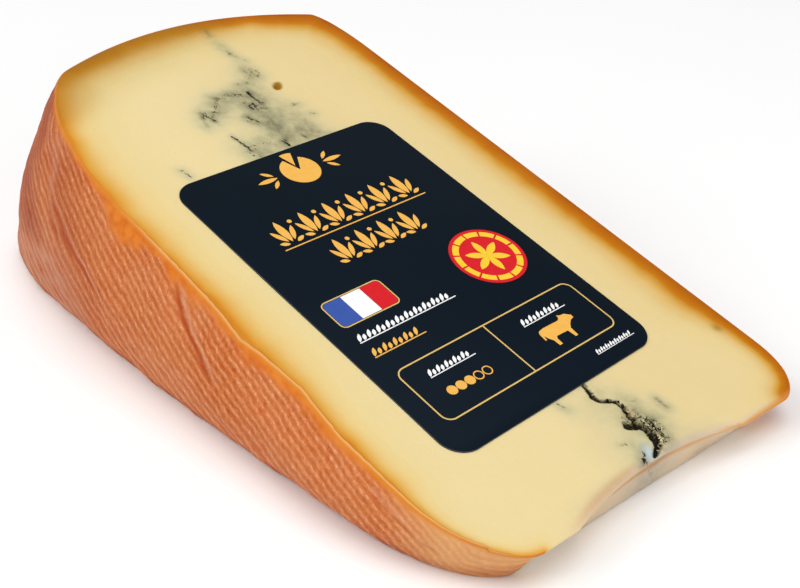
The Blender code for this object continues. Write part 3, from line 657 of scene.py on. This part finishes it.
def back_and_rim(points):
    """Shares of the back band and of the rim band in the gradient at each point of a cut face."""
    radius, across = points.T
    rim = smooth(-4.0, 5.0, radius - 148.0 + 0.25 * np.abs(across))
    rim *= 1 - 0.45 * smooth(-22.0, -31.0, across)
    return smooth(-12.0, 12.0, across), rim * (1 - smooth(2.0, 22.0, across))


def spot(points, radius, across, reach, wide):
    """A soft oval mark on a cut face."""
    return np.exp(-((points[:, 0] - radius) / reach) ** 2 - ((points[:, 1] - across) / wide) ** 2)


# On the cut-off end the gradient runs in from both corners, further along the foot
from_right = (index - facet_first) * FACET_WIDTH / TIP_STEPS
from_left = (facet_first + TIP_STEPS - index) * FACET_WIDTH / TIP_STEPS
facet_reach = np.minimum(1.5 * from_right[None, :] - 4.0 * (1 - share_of) ** 2,
                         2.6 * from_left[None, :] + 1.5)
facet_reach = np.clip(facet_reach, 0, None) * on_facet
wrap = smooth(9.0 - 5.0 * share_of, 1.0, from_right[None, :])
wrap += 0.75 * smooth(0.50, 0.90, share_of) * smooth(46.0, 24.0, from_right[None, :]) * (1 - wrap)
stripe = 0.60 * np.exp(-((share_of - 0.82) / 0.13) ** 2)
wrap += stripe * smooth(3.0, 9.0, from_left) * smooth(32.0, 22.0, from_left)
wrap = np.clip(wrap, 0, 1) * on_facet
past_facet = radius_of - tip_radius(across_of, 1.0)
hem = mix(0.3, 1.5, smooth(12.0, 34.0, across_of))
upper_wrap = smooth(hem, 0.25 * hem, past_facet) * smooth(6.0, 18.0, across_of)
stripe = 0.40 * np.exp(-((past_facet - 0.9) / 0.7) ** 2)
upper_wrap += stripe * smooth(-22.0, -14.0, across_of) * smooth(0.0, -7.0, across_of)
paler = smooth(44.0, 26.0, radius_of) * smooth(24.0, -6.0, across_of)
upper_depth = rind_distance(upper, 1.0) * mix(1.0, 2.6, paler)
upper_depth *= 1 + 0.60 * smooth(72.0, 50.0, radius_of) * smooth(5.0, -15.0, across_of)
upper_depth *= 1 + 0.80 * smooth(46.0, 30.0, radius_of) * smooth(10.0, 30.0, across_of)
upper_depth *= 1 - 0.14 * smooth(134.0, 150.0, radius_of) * smooth(18.0, 30.0, across_of)
under_depth = rind_distance(under, 0.0) * mix(1.0, 2.6, smooth(48.0, 30.0, under[:, 0]))
paint("to_rind", facet_reach, facet_reach[-1], upper_depth, under_depth)
paint("wrap", 0.85 * wrap, np.maximum(0.4 * wrap[-1], 0.9 * upper_wrap[:around] * on_facet), 0.9 * upper_wrap)
back, rim = back_and_rim(upper)
back_under, rim_under = back_and_rim(under)
facet_back = np.where(on_facet, smooth(-12, 12, section(0.5)[:, 1]), 0.0)
paint("back_share", np.tile(facet_back, (levels, 1)), facet_back, back, back_under)
paint("rim_share", upper_values=rim, under_values=rim_under)
facet_share = smooth(0.0, 9.0, facet_reach) * on_facet
thin_upper = smooth(2.0, 0.2, past_facet) * smooth(-26.0, -14.0, across_of) * smooth(34.0, 20.0, across_of)
paint("thin_end", facet_share, facet_share[-1], thin_upper)

# The ash's line on the lower cut face and down the cut-off end
under_line, _ = line_distance(under, UNDER_LINE)
under_ash = 0.85 * np.exp(-(under_line / 0.7) ** 2) * smooth(172.0, 160.0, under[:, 0])
under_ash *= 1 + 0.3 * lumps(under, 6.0, 12)
under_stain = 0.5 * np.exp(-(under_line / 2.6) ** 2) * smooth(174.0, 160.0, under[:, 0])
facet_across = np.tile(section(0.5)[:, 1], (levels, 1))
facet_line = mix(0.6, 1.4, 1 - share_of) + 0.8 * np.sin(share_of * 7.0)
facet_ash = 0.60 * np.exp(-((facet_across - facet_line) / 0.6) ** 2) * on_facet * (0.55 + 0.45 * share_of)
facet_stain = 0.40 * np.exp(-((facet_across - facet_line) / 5.0) ** 2) * on_facet
paint("ash", facet_ash, zero_edge, np.maximum(upper_ash, 1.1 * black), under_ash)
paint("stain", facet_stain, facet_stain[-1], np.maximum(upper_stain, 0.8 * black), under_stain)
# Painted shade: the eye's hollow and the nick at the back, in dark gold
notch = 0.75 * spot(upper, *NOTCH)
paint("eye", upper_values=np.maximum(1 - smooth(0.75, 1.20, hole), notch))
# The drop of whey: painted sheen in pale blue-grey, kept off the crack
paint("wet_sheen", upper_values=spot(upper, *WET_SPOT) * (1 - black))

# On the rind: the threads, where the cloth pressed, a pale bloom with painted sheen and highlight, redder
# zones with painted shade along the foot, and creases
paint("thread_out", thread_out, thread_out[-1])
paint("thread_along", thread_along, thread_along[-1])
paint("press", press)
paint("rubbed", rubbed * on_rind, zero_edge + 1.0)
paint("crease_and_shade", crease_and_shade)
# A pale streak and a haze at the rim end: partly the rind's pale bloom, partly painted sheen
streak_away = (cloth[..., 0] + 134.0 - 0.30 * (cloth[..., 1] - 26.0) + 0.6 * ragged) / 1.3
streak = 0.8 * np.exp(-streak_away ** 2) * smooth(10.0, 20.0, cloth[..., 1]) * (0.6 + 0.4 * uneven)
haze = 0.80 * smooth(-118.0, -134.0, cloth[..., 0]) * smooth(21.0, 9.0, cloth[..., 1])
haze *= smooth(-1.0, 4.0, skin_points[..., 2])
haze *= smooth(-168.0, -154.0, cloth[..., 0])
# Painted highlight on the ridge beside each crease, kept off the crease itself
fold_highlight *= 0.7 * creased * (1 - crease_and_shade)
bloom_and_sheen = np.maximum(np.maximum(streak, fold_highlight), haze * (0.7 + 0.5 * ragged))
paint("bloom_and_sheen", on_rind * np.clip(bloom_and_sheen, 0, 1))
ruddy_end = smooth(-135.5, -139.0, cloth[..., 0]) * smooth(-172.0, -156.0, cloth[..., 0])
ruddy_end *= smooth(8.0, 18.0, cloth[..., 1])
ruddy_side = 0.58 * smooth(-108.0, -132.0, cloth[..., 0]) * smooth(-168.0, -154.0, cloth[..., 0])
# Darker red along the foot: painted shade where the rind rolls under towards the floor
foot_shade = 0.8 * smooth(4.5, 1.0, skin_points[..., 2]) * (cloth[..., 0] < -20)
ruddy_and_shade = np.maximum(np.maximum(ruddy_end, ruddy_side), foot_shade)
paint("ruddy_and_shade", ruddy_and_shade * (0.75 + 0.35 * uneven) * on_rind)
paint("tip_tan", smooth(-44.0, -27.0, cloth[..., 0]) * on_rind * (skin_facts[..., 1] < 0))
paint("cut_edge", smooth(0.9, 0.1, below_cut) * on_rind, zero_edge + 1.0)
# The lip: a pale line along the raised edge of the rind, a painted highlight
paint("lip_and_highlight", linen_here[None, :] * smooth(0.14, 0.02, below_cut), 0.85 * linen_here)

mesh.shade_smooth()
mesh.set_sharp_from_angle(angle=math.radians(70))
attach(wedge, "root")
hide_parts("cheese")


# The ash: a dusting of vegetable ash spread between two layers of curd, pressed into a thin
# sheet. It crumbles where the knife opened the thin end, so loose grains lie in the crack.

ASH_LINE = ((22.0, 0.0), (25.0, 0.8), (27.5, 3.8), (35.5, 4.1), (38.5, 1.6), (42.5, 2.2), (68.0, -0.8),
            (92.0, 1.8), (116.0, 0.2), (130.0, 1.6), (140.0, 8.6), (156.0, 9.2))
ASH_HALF, ASH_START, ASH_END, ASH_DEPTH = 0.5, 26.2, 152.0, 0.45
CRACK_HALF, CRACK_MIDDLE, CRACK_REACH, CRACK_FLOOR = 0.7, 32.5, 7.0, 1.2
GRAINS, FLAKES, SHAVINGS = 110, 34, 44
FLAKE_SPOT, FLAKE_SPREAD = (29.6, 5.1), (1.6, 0.55)

# Vegetable ash: fine soot pressed dry into the curd. It gives the eye a dull black without
# gloss, with brown clumps where the curd's fat soaked in.
vegetable_ash, tree, shader, mm = new_material("vegetable_ash", 0.86, 1.45, Specular_IOR_Level=0.3)
clump = node(tree, "TexNoise", {"Vector": mm, "Scale": 1 / 0.5, "Detail": 4.0, "Roughness": 0.7})
clump = node(tree, "MapRange", (clump, 0.45, 0.80), interpolation_type="SMOOTHSTEP")
soot = node(tree, "Mix", {0: clump, 6: "#0d0b07", 7: "#37301f"}, 2, data_type="RGBA")
tree.links.new(soot, shader.inputs["Base Color"])
crumbly = node(tree, "TexNoise", {"Vector": mm, "Scale": 1 / 0.35, "Detail": 4.0, "Roughness": 0.7})
bump = node(tree, "Bump", {"Height": crumbly, "Strength": 0.8, "Distance": 0.0004})
tree.links.new(bump, shader.inputs["Normal"])


def piece(name, points, polygons, material, node_name=None):
    """A mesh from points in millimetres in the wheel's frame, riding on the part."""
    made = bpy.data.meshes.new(name)
    made.from_pydata([tuple(p) for p in (np.asarray(points, float) + AXIS) * MM], [], polygons)
    bm = bmesh.new()
    bm.from_mesh(made)
    bmesh.ops.recalc_face_normals(bm, faces=bm.faces)
    bm.to_mesh(made)
    bm.free()
    made.materials.append(material)
    made.shade_smooth()
    made.set_sharp_from_angle(angle=math.radians(40))
    obj = bpy.data.objects.new(name, made)
    bpy.context.collection.objects.link(obj)
    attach(obj, "root")
    if node_name:
        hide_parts(node_name)
    return obj


def ash_sheet():
    """The sheet in the crack and through the paste, with a crumbly upper edge."""
    radii = np.linspace(ASH_START, ASH_END, 260)
    line = np.array(ASH_LINE)
    middle = np.interp(radii, line[:, 0], line[:, 1])
    middle = np.convolve(np.pad(middle, 3, "edge"), np.ones(7) / 7, "valid")
    parted = np.clip(1 - ((radii - CRACK_MIDDLE) / CRACK_REACH) ** 2, 0, 1)
    taper = np.sqrt(np.clip((ASH_END - radii) / 4.0 + 0.35, 0, 1))
    points, polygons = [], []
    for k, share in enumerate(np.linspace(0.02, 1.0, 8)):
        half = (ASH_HALF * taper + CRACK_HALF * parted * smooth(0.6, 1.0, share)) * 0.9
        sunk = (ASH_DEPTH + CRACK_FLOOR * parted) * (share == 1.0)
        rough = 0.14 * lumps(np.stack([radii, 0 * radii + share * 9], 1), 1.3, 40 + k)
        for sign in (-1, 1):
            lift = -sunk + rough * (share == 1.0)
            points.append(in_wheel(radii, middle + sign * half + rough, share, lift))
    points = np.array(points)
    rows, count = points.shape[:2]
    loop = list(range(0, rows, 2)) + list(range(rows - 1, 0, -2))
    for a, b in zip(loop, loop[1:] + loop[:1]):
        polygons += [(a * count + i, a * count + i + 1, b * count + i + 1, b * count + i)
                     for i in range(count - 1)]
    polygons.append(tuple(a * count for a in loop))
    polygons.append(tuple(a * count + count - 1 for a in loop))
    return points.reshape(-1, 3), polygons


def grains(places, sizes, seed):
    """Small uneven lumps."""
    rng = np.random.default_rng(seed)
    bm = bmesh.new()
    bmesh.ops.create_icosphere(bm, subdivisions=2, radius=1.0)
    base = np.array([v.co[:] for v in bm.verts])
    polygons = [tuple(v.index for v in f.verts) for f in bm.faces]
    bm.free()
    points, all_polygons = [], []
    for i, (place, size) in enumerate(zip(places, sizes)):
        shape = base * (1 + 0.28 * lumps(base, 1.1, seed + i))[:, None] * rng.uniform(0.6, 1.25, 3)
        turn = np.linalg.qr(rng.normal(size=(3, 3)))[0]
        points.append(shape @ turn.T * size + place)
        all_polygons += [tuple(v + i * len(base) for v in face) for face in polygons]
    return np.vstack(points), all_polygons


def slivers(rows, seed):
    """Thin tapered flakes on the cut face, from (radius, across, heading, length, width) of each."""
    rng = np.random.default_rng(seed)
    cuts, sides = 6, 6
    turn = 2 * math.pi * np.arange(sides) / sides
    t = np.linspace(-1, 1, cuts)
    points, polygons = [], []
    for n, (radius, across, heading, length, width) in enumerate(rows):
        way = heading + 0.45 * rng.normal() * t
        spine = np.stack([np.cumsum(np.cos(way)), np.cumsum(np.sin(way))], 1) * length / cuts
        spine += (radius, across) - spine.mean(0)
        half = width / 2 * np.sqrt(1 - (0.97 * t) ** 2) * rng.uniform(0.7, 1.3, cuts)
        for k in range(cuts):
            out = half[k] * np.cos(turn)
            lift = 0.6 * half[k] * np.sin(turn) - 0.1 * half[k]
            points.append(in_wheel(spine[k, 0] - out * math.sin(way[k]), spine[k, 1] + out * math.cos(way[k]),
                                   1.0, lift))
        first = n * cuts * sides
        for k in range(cuts - 1):
            low = first + k * sides
            polygons += [(low + i, low + (i + 1) % sides, low + sides + (i + 1) % sides, low + sides + i)
                         for i in range(sides)]
        last = first + (cuts - 1) * sides
        polygons += [tuple(range(first, first + sides)), tuple(range(last, last + sides))]
    return np.vstack(points), polygons


sheet_points, sheet_faces = ash_sheet()
piece("ash_seam", sheet_points, sheet_faces, vegetable_ash, "ash_layer")

rng = np.random.default_rng(7)
path = np.array(CRACK)
places, sizes = [], []
for _ in range(GRAINS):
    t = rng.uniform(6, len(path) - 1.2)
    i = int(t)
    middle = mix(path[i], path[i + 1], t - i)
    across = middle[1] + rng.normal() * middle[2] * 0.60
    out = abs(across - middle[1]) / middle[2]
    sink = -middle[3] * float(1 - smooth(0.3, 1.0, out)) + 0.03
    places.append(in_wheel(middle[0], across, 1.0, sink))
    sizes.append(rng.uniform(0.10, 0.26))
grain_points, grain_faces = grains(np.array(places), np.array(sizes), 100)
piece("ash_grains", grain_points, grain_faces, vegetable_ash, None)

# Specks along the strands of ash, and curled black flakes beside the crack
flecks = []
for strand, half, strength in STRANDS:
    for (r0, y0), (r1, y1) in zip(strand, strand[1:]):
        length, heading = math.hypot(r1 - r0, y1 - y0), math.atan2(y1 - y0, r1 - r0)
        for _ in range(int(length * (5.5 * max(strength - 0.30, 0.0) + 0.6) + 0.5)):
            t, aside = rng.uniform(), rng.normal() * 0.55 * half
            radius = r0 + t * (r1 - r0) - aside * math.sin(heading)
            across = y0 + t * (y1 - y0) + aside * math.cos(heading)
            flecks.append((radius, across, heading + 0.45 * rng.normal(),
                           rng.uniform(0.25, 0.90) * (0.5 + strength),
                           rng.uniform(0.05, 0.14) * (0.5 + strength)))
for _ in range(FLAKES):
    a, b = rng.normal(size=2)
    flecks.append((FLAKE_SPOT[0] + FLAKE_SPREAD[0] * a, FLAKE_SPOT[1] + FLAKE_SPREAD[1] * b,
                   0.5 + 0.5 * a + 0.5 * rng.normal(), rng.uniform(0.4, 1.5), rng.uniform(0.10, 0.24)))
fleck_points, fleck_faces = slivers(flecks, 21)
piece("ash_flecks", fleck_points, fleck_faces, vegetable_ash, None)

# Crumbled paste: crumbs and shavings that the knife tore off along the crack. They are rough
# and drier than the cut face, so they show as matt flecks, pale or browned by ash.
crumbled_paste, tree, shader, mm = new_material("crumbled_paste", 0.55, 1.44, Specular_IOR_Level=0.25)
shade = node(tree, "TexNoise", {"Vector": mm, "Scale": 1 / 0.8, "Detail": 3.0})
shade = node(tree, "MapRange", (shade, 0.35, 0.65), interpolation_type="SMOOTHSTEP")
crumb_tone = node(tree, "Mix", {0: shade, 6: "#a07c46", 7: "#e4d5a6"}, 2, data_type="RGBA")
tree.links.new(crumb_tone, shader.inputs["Base Color"])
bump = node(tree, "Bump", {"Height": shade, "Strength": 0.2, "Distance": 0.0003})
tree.links.new(bump, shader.inputs["Normal"])
shavings = [(33.6, 4.35, 2.5, 1.5, 0.50), (27.6, 4.9, 1.0, 1.6, 0.26), (29.4, 5.9, 0.7, 1.4, 0.22),
            (28.3, 6.1, 1.1, 1.3, 0.20), (31.2, 5.0, 2.3, 1.1, 0.22), (26.9, 4.3, 1.3, 1.0, 0.20)]
for _ in range(SHAVINGS):
    t = rng.uniform(7, len(path) - 2)
    i = int(t)
    middle = mix(path[i], path[i + 1], t - i)
    shavings.append((middle[0], middle[1] + middle[2] * rng.uniform(0.7, 2.0), rng.uniform(0, 3.0),
                     rng.uniform(0.2, 0.8), rng.uniform(0.10, 0.22)))
crumb_points, crumb_faces = slivers(shavings, 22)
piece("paste_crumbs", crumb_points, crumb_faces, crumbled_paste, None)


# The label: a card of printed, varnished paper with rounded corners, pressed by hand onto the
# upper cut face. Its navy ground is printed all over, and only the cut edge shows white paper.

LABEL_TURN = math.radians(-0.9)
LABEL_LENGTH, LABEL_WIDTH, LABEL_CORNER = 73.4, 49.1, 4.4
LABEL_FOOT, LABEL_TOP, EDGE_BREAK = -0.04, 0.24, 0.10

# Varnished navy paper: an even near-black blue with a faint satin sheen, and a pale fibrous
# line where the card was cut.
navy_card, tree, shader, mm = new_material("varnished_navy_paper", 0.50, 1.50, Specular_IOR_Level=0.05)
shade = node(tree, "TexNoise", {"Vector": mm, "Scale": 1 / 30.0, "Detail": 2.0})
edge = node(tree, "Attribute", output="Fac", attribute_name="paper_edge")
ground = node(tree, "Mix", {0: shade, 6: "#08121b", 7: "#0d1924"}, 2, data_type="RGBA")
ground = node(tree, "Mix", {0: edge, 6: ground, 7: "#8f9499"}, 2, data_type="RGBA")
tree.links.new(ground, shader.inputs["Base Color"])
fibres = node(tree, "TexNoise", {"Vector": mm, "Scale": 1 / 0.5, "Detail": 3.0})
bump = node(tree, "Bump", {"Height": fibres, "Strength": 0.08, "Distance": 0.0002})
tree.links.new(bump, shader.inputs["Normal"])


def on_label(points, lift):
    """Points (to the right, down) in millimetres on the label, as it is read, to the wheel's frame."""
    right, down = np.asarray(points, float).T
    radius = LABEL_CENTRE[0] - down * math.cos(LABEL_TURN) - right * math.sin(LABEL_TURN)
    across = LABEL_CENTRE[1] - down * math.sin(LABEL_TURN) + right * math.cos(LABEL_TURN)
    return in_wheel(radius, across, 1.0, lift)


def rounded(x0, y0, x1, y1, corner, steps=8):
    """A rectangle with rounded corners, as a loop."""
    loop = []
    left, right, upper, lower = x0 + corner, x1 - corner, y0 + corner, y1 - corner
    for quarter, (cx, cy) in enumerate(((right, lower), (left, lower), (left, upper), (right, upper))):
        for i in range(steps + 1):
            a = (quarter + i / steps) * math.pi / 2
            loop.append((cx + corner * math.cos(a), cy + corner * math.sin(a)))
    return loop


half_width, half_length = LABEL_WIDTH / 2, LABEL_LENGTH / 2
outer = np.array(rounded(-half_width, -half_length, half_width, half_length, LABEL_CORNER, 16))
inner = outer * (1 - EDGE_BREAK / np.linalg.norm(outer, axis=1, keepdims=True))
count = len(outer)
card_points = np.vstack([on_label(outer, LABEL_FOOT), on_label(outer, LABEL_TOP - EDGE_BREAK / 2),
                         on_label(inner, LABEL_TOP)])
card_faces = [tuple(range(count)), tuple(range(2 * count, 3 * count))]
for low in (0, count):
    card_faces += [(low + i, low + (i + 1) % count, low + count + (i + 1) % count, low + count + i)
                   for i in range(count)]
label_card = piece("label_card", card_points, card_faces, navy_card, "label")
paper_edge = np.zeros(len(card_points), np.float32)
paper_edge[count:2 * count] = 0.30
label_card.data.attributes.new("paper_edge", "FLOAT", "POINT").data.foreach_set("value", paper_edge)


# The print: opaque screen inks on the navy ground, a little proud of it. It holds a small cheese
# and two friezes of palmettes in gold, a flag's fields, a round seal with a flower, a ruled box
# with five dots and a cow, and rows of small leaves.

INK_TOP, INK_FOOT = LABEL_TOP + 0.035, LABEL_TOP - 0.02
SEAL, SEAL_RADIUS, SEAL_BAND = (13.7, 5.8), 7.2, (6.5, 5.3)
CHEESE, PORTION, CHEESE_RADIUS = (0.0, -30.3), (-0.1, -31.7), 3.9
DOT_ROW, DOT_RADIUS, DOT_INSIDE = 25.9, 0.95, 0.74
FLAG = (-20.7, 0.3, -8.3, 6.3, 1.0)     # left, top, right, foot, corner
FLAG_BLUE_END, FLAG_RED_START = -16.6, -12.3
COW = (
    (6.6, 24.9), (7.0, 24.4), (8.2, 24.2), (12.0, 24.3), (12.6, 23.9), (12.7, 23.3), (13.3, 23.6),
    (14.2, 23.7), (15.2, 24.6), (15.1, 25.2), (14.2, 25.4), (13.4, 26.0), (12.7, 26.7), (12.5, 28.6),
    (11.9, 28.6), (11.7, 26.9), (9.0, 26.8), (8.6, 27.3), (8.5, 28.6), (7.8, 28.6), (7.7, 27.2),
    (7.2, 26.4), (7.0, 25.6), (6.7, 26.6), (6.4, 26.5),
)


def ring(centre, radius, steps=64, start=0.0, end=2 * math.pi):
    """A circle or an arc; down the label is the second axis."""
    a = np.linspace(start, end, steps, endpoint=end - start < 6.28)
    return np.array(centre) + radius * np.stack([np.cos(a), np.sin(a)], 1)


def leaf(x, y, length, width, angle, steps=9):
    """A pointed oval from its foot at (x, y), at an angle from straight up."""
    t = np.linspace(0, 1, steps)
    half = width / 2 * np.sin(math.pi * t) ** 0.8
    loop = np.concatenate([np.stack([half, -length * t], 1), np.stack([-half, -length * t], 1)[-2:0:-1]])
    turn = np.array([[math.cos(angle), -math.sin(angle)], [math.sin(angle), math.cos(angle)]])
    return loop @ turn.T + (x, y)


def sprig(x0, x1, foot, height):
    """A row of small leaves that lean on from a fine stem."""
    reach = x1 - x0 - 0.5 * height
    count = round(reach / (0.52 * height))
    loops = [leaf(x0 + (i + 0.2) * reach / count, foot, 0.95 * height * (1 - 0.28 * (i % 2)),
                  0.34 * height, 0.50) for i in range(count)]
    return loops + [rounded(x0, foot + 0.04 * height, x1, foot + 0.14 * height, 0.04 * height, 2)]


def ink(name, shapes, material, lift=INK_TOP):
    """Printed shapes: each a loop, or a pair of loops for an outline."""
    points, polygons = [], []
    for shape in shapes:
        loops = shape if isinstance(shape, tuple) else (shape,)
        count = len(loops[0])
        low = sum(len(p) for p in points)
        high = low + count * len(loops)
        points += [on_label(np.array(loop), height) for height in (INK_FOOT, lift) for loop in loops]
        step = [(i, (i + 1) % count) for i in range(count)]
        polygons += [(low + i, low + j, high + j, high + i) for i, j in step]
        if len(loops) == 1:
            polygons += [tuple(range(low, low + count)), tuple(range(high, high + count))]
        else:
            polygons += [(low + count + i, low + count + j, high + count + j, high + count + i)
                         for i, j in step]
            polygons += [(face + i, face + j, face + count + j, face + count + i)
                         for face in (low, high) for i, j in step]
    return piece(name, np.vstack(points), polygons, material, None)


def ink_material(name, colour, other):
    """Screen ink: opaque and slightly uneven, with a dull gloss."""
    material, tree, shader, mm = new_material(name, 0.45, 1.50, Specular_IOR_Level=0.15)
    uneven = node(tree, "TexNoise", {"Vector": mm, "Scale": 1 / 1.2, "Detail": 3.0})
    tone = node(tree, "Mix", {0: uneven, 6: colour, 7: other}, 2, data_type="RGBA")
    tree.links.new(tone, shader.inputs["Base Color"])
    screen = node(tree, "TexNoise", {"Vector": mm, "Scale": 1 / 0.4, "Detail": 2.0})
    bump = node(tree, "Bump", {"Height": screen, "Strength": 0.06, "Distance": 0.0002})
    tree.links.new(bump, shader.inputs["Normal"])
    return material


def frame_loops(x0, y0, x1, y1, corner, line):
    """The two edges of a ruled frame."""
    return (rounded(x0, y0, x1, y1, corner),
            rounded(x0 + line, y0 + line, x1 - line, y1 - line, corner - line))


def palmettes(left, right, foot, height, count):
    """A frieze of palmettes of five leaves, with a bead between each two."""
    loops = []
    pitch = (right - left) / count
    for i in range(count):
        x = left + pitch * (i + 0.5)
        loops.append(leaf(x, foot - 0.12 * height, 0.88 * height, 0.24 * height, 0.0))
        for side in (-1, 1):
            for aside, up, length, width, lean in ((0.10, 0.16, 0.58, 0.15, 0.44),
                                                   (0.12, 0.06, 0.30, 0.13, 1.15)):
                loops.append(leaf(x + side * aside * height, foot - up * height, length * height,
                                  width * height, side * lean))
        if i:
            loops.append(ring((x - pitch / 2, foot - 0.82 * height), 0.07 * height, 14))
    return loops


gold_ink = ink_material("gold_ink", "#e9ab48", "#f4bd5e")
gold = palmettes(-17.0, 16.4, -14.0, 6.6, 6) + palmettes(-10.7, 10.2, -5.4, 6.4, 4)
gold.append(rounded(-17.0, -13.55, 16.4, -13.3, 0.1, 2))
gold += [ring((x, DOT_ROW), DOT_RADIUS, 28) for x in (-15.2, -13.2, -11.2)]
gold += [(ring((x, DOT_ROW), DOT_RADIUS, 28), ring((x, DOT_ROW), DOT_INSIDE, 28)) for x in (-9.2, -7.2)]
for centre, steps, start, end in ((CHEESE, 40, -60, 250), (PORTION, 8, 256, 294)):
    arc = ring(centre, CHEESE_RADIUS, steps, math.radians(start), math.radians(end))
    gold.append(np.vstack([arc, [centre]]))
for side in (-1, 1):
    gold += [leaf(side * 5.4, -30.3, 4.4, 1.1, side * math.pi / 2),
             leaf(side * 5.8, -31.0, 2.6, 0.8, side * 0.8),
             leaf(side * 5.8, -29.6, 2.6, 0.8, side * 2.34)]
gold += sprig(-20.9, -9.6, 13.9, 2.1)
ink("gold_print", gold, gold_ink)

pale_ink = ink_material("pale_gold_ink", "#d8b568", "#e2c079")
ink("pale_print", [frame_loops(-20.7, 18.0, 21.1, 30.6, 1.9, 0.26),
                   rounded(-0.55, 18.2, -0.29, 30.4, 0.12, 2),
                   frame_loops(-21.0, 0.0, -8.0, 6.6, 1.2, 0.22)], pale_ink)
ink("cow_print", [np.array(COW)], gold_ink)

white_ink = ink_material("white_ink", "#f1f2f2", "#fbfbfa")
white = sprig(-20.8, 0.9, 10.2, 2.0) + sprig(-16.3, -6.1, 22.0, 1.8) + sprig(5.6, 16.2, 22.1, 1.8)
white += sprig(11.8, 21.6, 33.6, 1.2)
white.append(np.array([(-16.55, 0.35), (-12.35, 0.35), (-12.35, 6.25), (-16.55, 6.25)]))
ink("white_print", white, white_ink, INK_TOP - 0.004)


def half_flag(x0, x1):
    """The part of the flag's rounded field between two places along it."""
    return [(min(max(x, x0), x1), y) for x, y in rounded(*FLAG)]


blue_ink = ink_material("blue_ink", "#33509f", "#3d5aa8")
ink("blue_print", [half_flag(FLAG[0], FLAG_BLUE_END)], blue_ink, INK_TOP - 0.008)
red_ink = ink_material("red_ink", "#cf1722", "#da202a")
ink("red_print", [half_flag(FLAG_RED_START, FLAG[2]), ring(SEAL, SEAL_RADIUS)], red_ink, INK_TOP - 0.008)
yellow_ink = ink_material("yellow_ink", "#f0c32e", "#f8cf3c")
yellow = []
for i in range(12):
    a = math.radians(30 * i)
    far, near = [ring(SEAL, radius, 8, a, a + 0.46) for radius in SEAL_BAND]
    yellow.append(np.vstack([far, near[::-1]]))
yellow += [leaf(*SEAL, 4.3, 1.5, math.radians(60 * i)) for i in range(6)]
ink("yellow_print", yellow, yellow_ink, INK_TOP)


# The studio: a plain white floor of matt board under three wide soft lights and a pale sky, as
# for a pack shot, with the camera at the photograph's view.

LENS, SENSOR = 53.84, 36.0
CAMERA_AT = np.array([57.71, -127.97, 119.14])
AZIMUTH, ELEVATION, ROLL = math.radians(47.306), math.radians(29.46), math.radians(0.402)
FLOOR_HALF, FLOOR_LEVEL = 8.0, -0.0002  # in metres, as are the lights' places

# White board: matt and even, so the eye sees only a pale ground and a soft shadow
white_board, tree, shader, mm = new_material("white_board", 0.9, 1.45)
shade = node(tree, "TexNoise", {"Vector": mm, "Scale": 1 / 60.0, "Detail": 2.0})
shade = node(tree, "Mix", {0: shade, 6: "#fafafa", 7: "#fcfcfc"}, 2, data_type="RGBA")
tree.links.new(shade, shader.inputs["Base Color"])
floor_mesh = bpy.data.meshes.new("floor")
floor_corners = [(x * FLOOR_HALF, y * FLOOR_HALF, FLOOR_LEVEL)
                 for x, y in ((-1, -1), (1, -1), (1, 1), (-1, 1))]
floor_mesh.from_pydata(floor_corners, [], [(0, 1, 2, 3)])
floor_mesh.materials.append(white_board)
floor = bpy.data.objects.new("floor", floor_mesh)
bpy.context.collection.objects.link(floor)

for name, place, size, watts in (("overhead_light", (0.30, 0.0, 1.90), 1.4, 17.0),
                                 ("left_light", (-0.90, -1.30, 1.40), 1.4, 20.0),
                                 ("end_light", (1.60, -0.60, 0.80), 1.1, 12.0)):
    lamp = bpy.data.lights.new(name, "AREA")
    lamp.shape, lamp.size, lamp.energy = "SQUARE", size, watts
    holder = bpy.data.objects.new(name, lamp)
    holder.location = place
    holder.rotation_euler = (-Vector(place)).to_track_quat("-Z", "Y").to_euler()
    bpy.context.collection.objects.link(holder)
world = bpy.data.worlds.new("soft_world")
bpy.context.scene.world = world
world.use_nodes = True
world.node_tree.nodes["Background"].inputs["Color"].default_value = (1.0, 1.0, 1.0, 1.0)
world.node_tree.nodes["Background"].inputs["Strength"].default_value = 0.30
bpy.context.scene.view_settings.view_transform = "Standard"

level = math.cos(ELEVATION)
back_axis = Vector((math.sin(AZIMUTH) * level, -math.cos(AZIMUTH) * level, math.sin(ELEVATION)))
level_axis = Vector((math.cos(AZIMUTH), math.sin(AZIMUTH), 0.0))
down_axis = (-back_axis).cross(level_axis)
right_axis = math.cos(ROLL) * level_axis + math.sin(ROLL) * down_axis
up_axis = math.sin(ROLL) * level_axis - math.cos(ROLL) * down_axis
lens = bpy.data.cameras.new("pack_shot")
lens.lens, lens.sensor_width, lens.sensor_fit = LENS, SENSOR, "HORIZONTAL"
lens.clip_start = 0.01
camera = bpy.data.objects.new("pack_shot", lens)
matrix = np.eye(4)
matrix[:3, :3] = np.array([right_axis[:], up_axis[:], back_axis[:]]).T
matrix[:3, 3] = (CAMERA_AT + AXIS) * MM
camera.matrix_world = Matrix(matrix.tolist())
bpy.context.collection.objects.link(camera)
bpy.context.scene.camera = camera
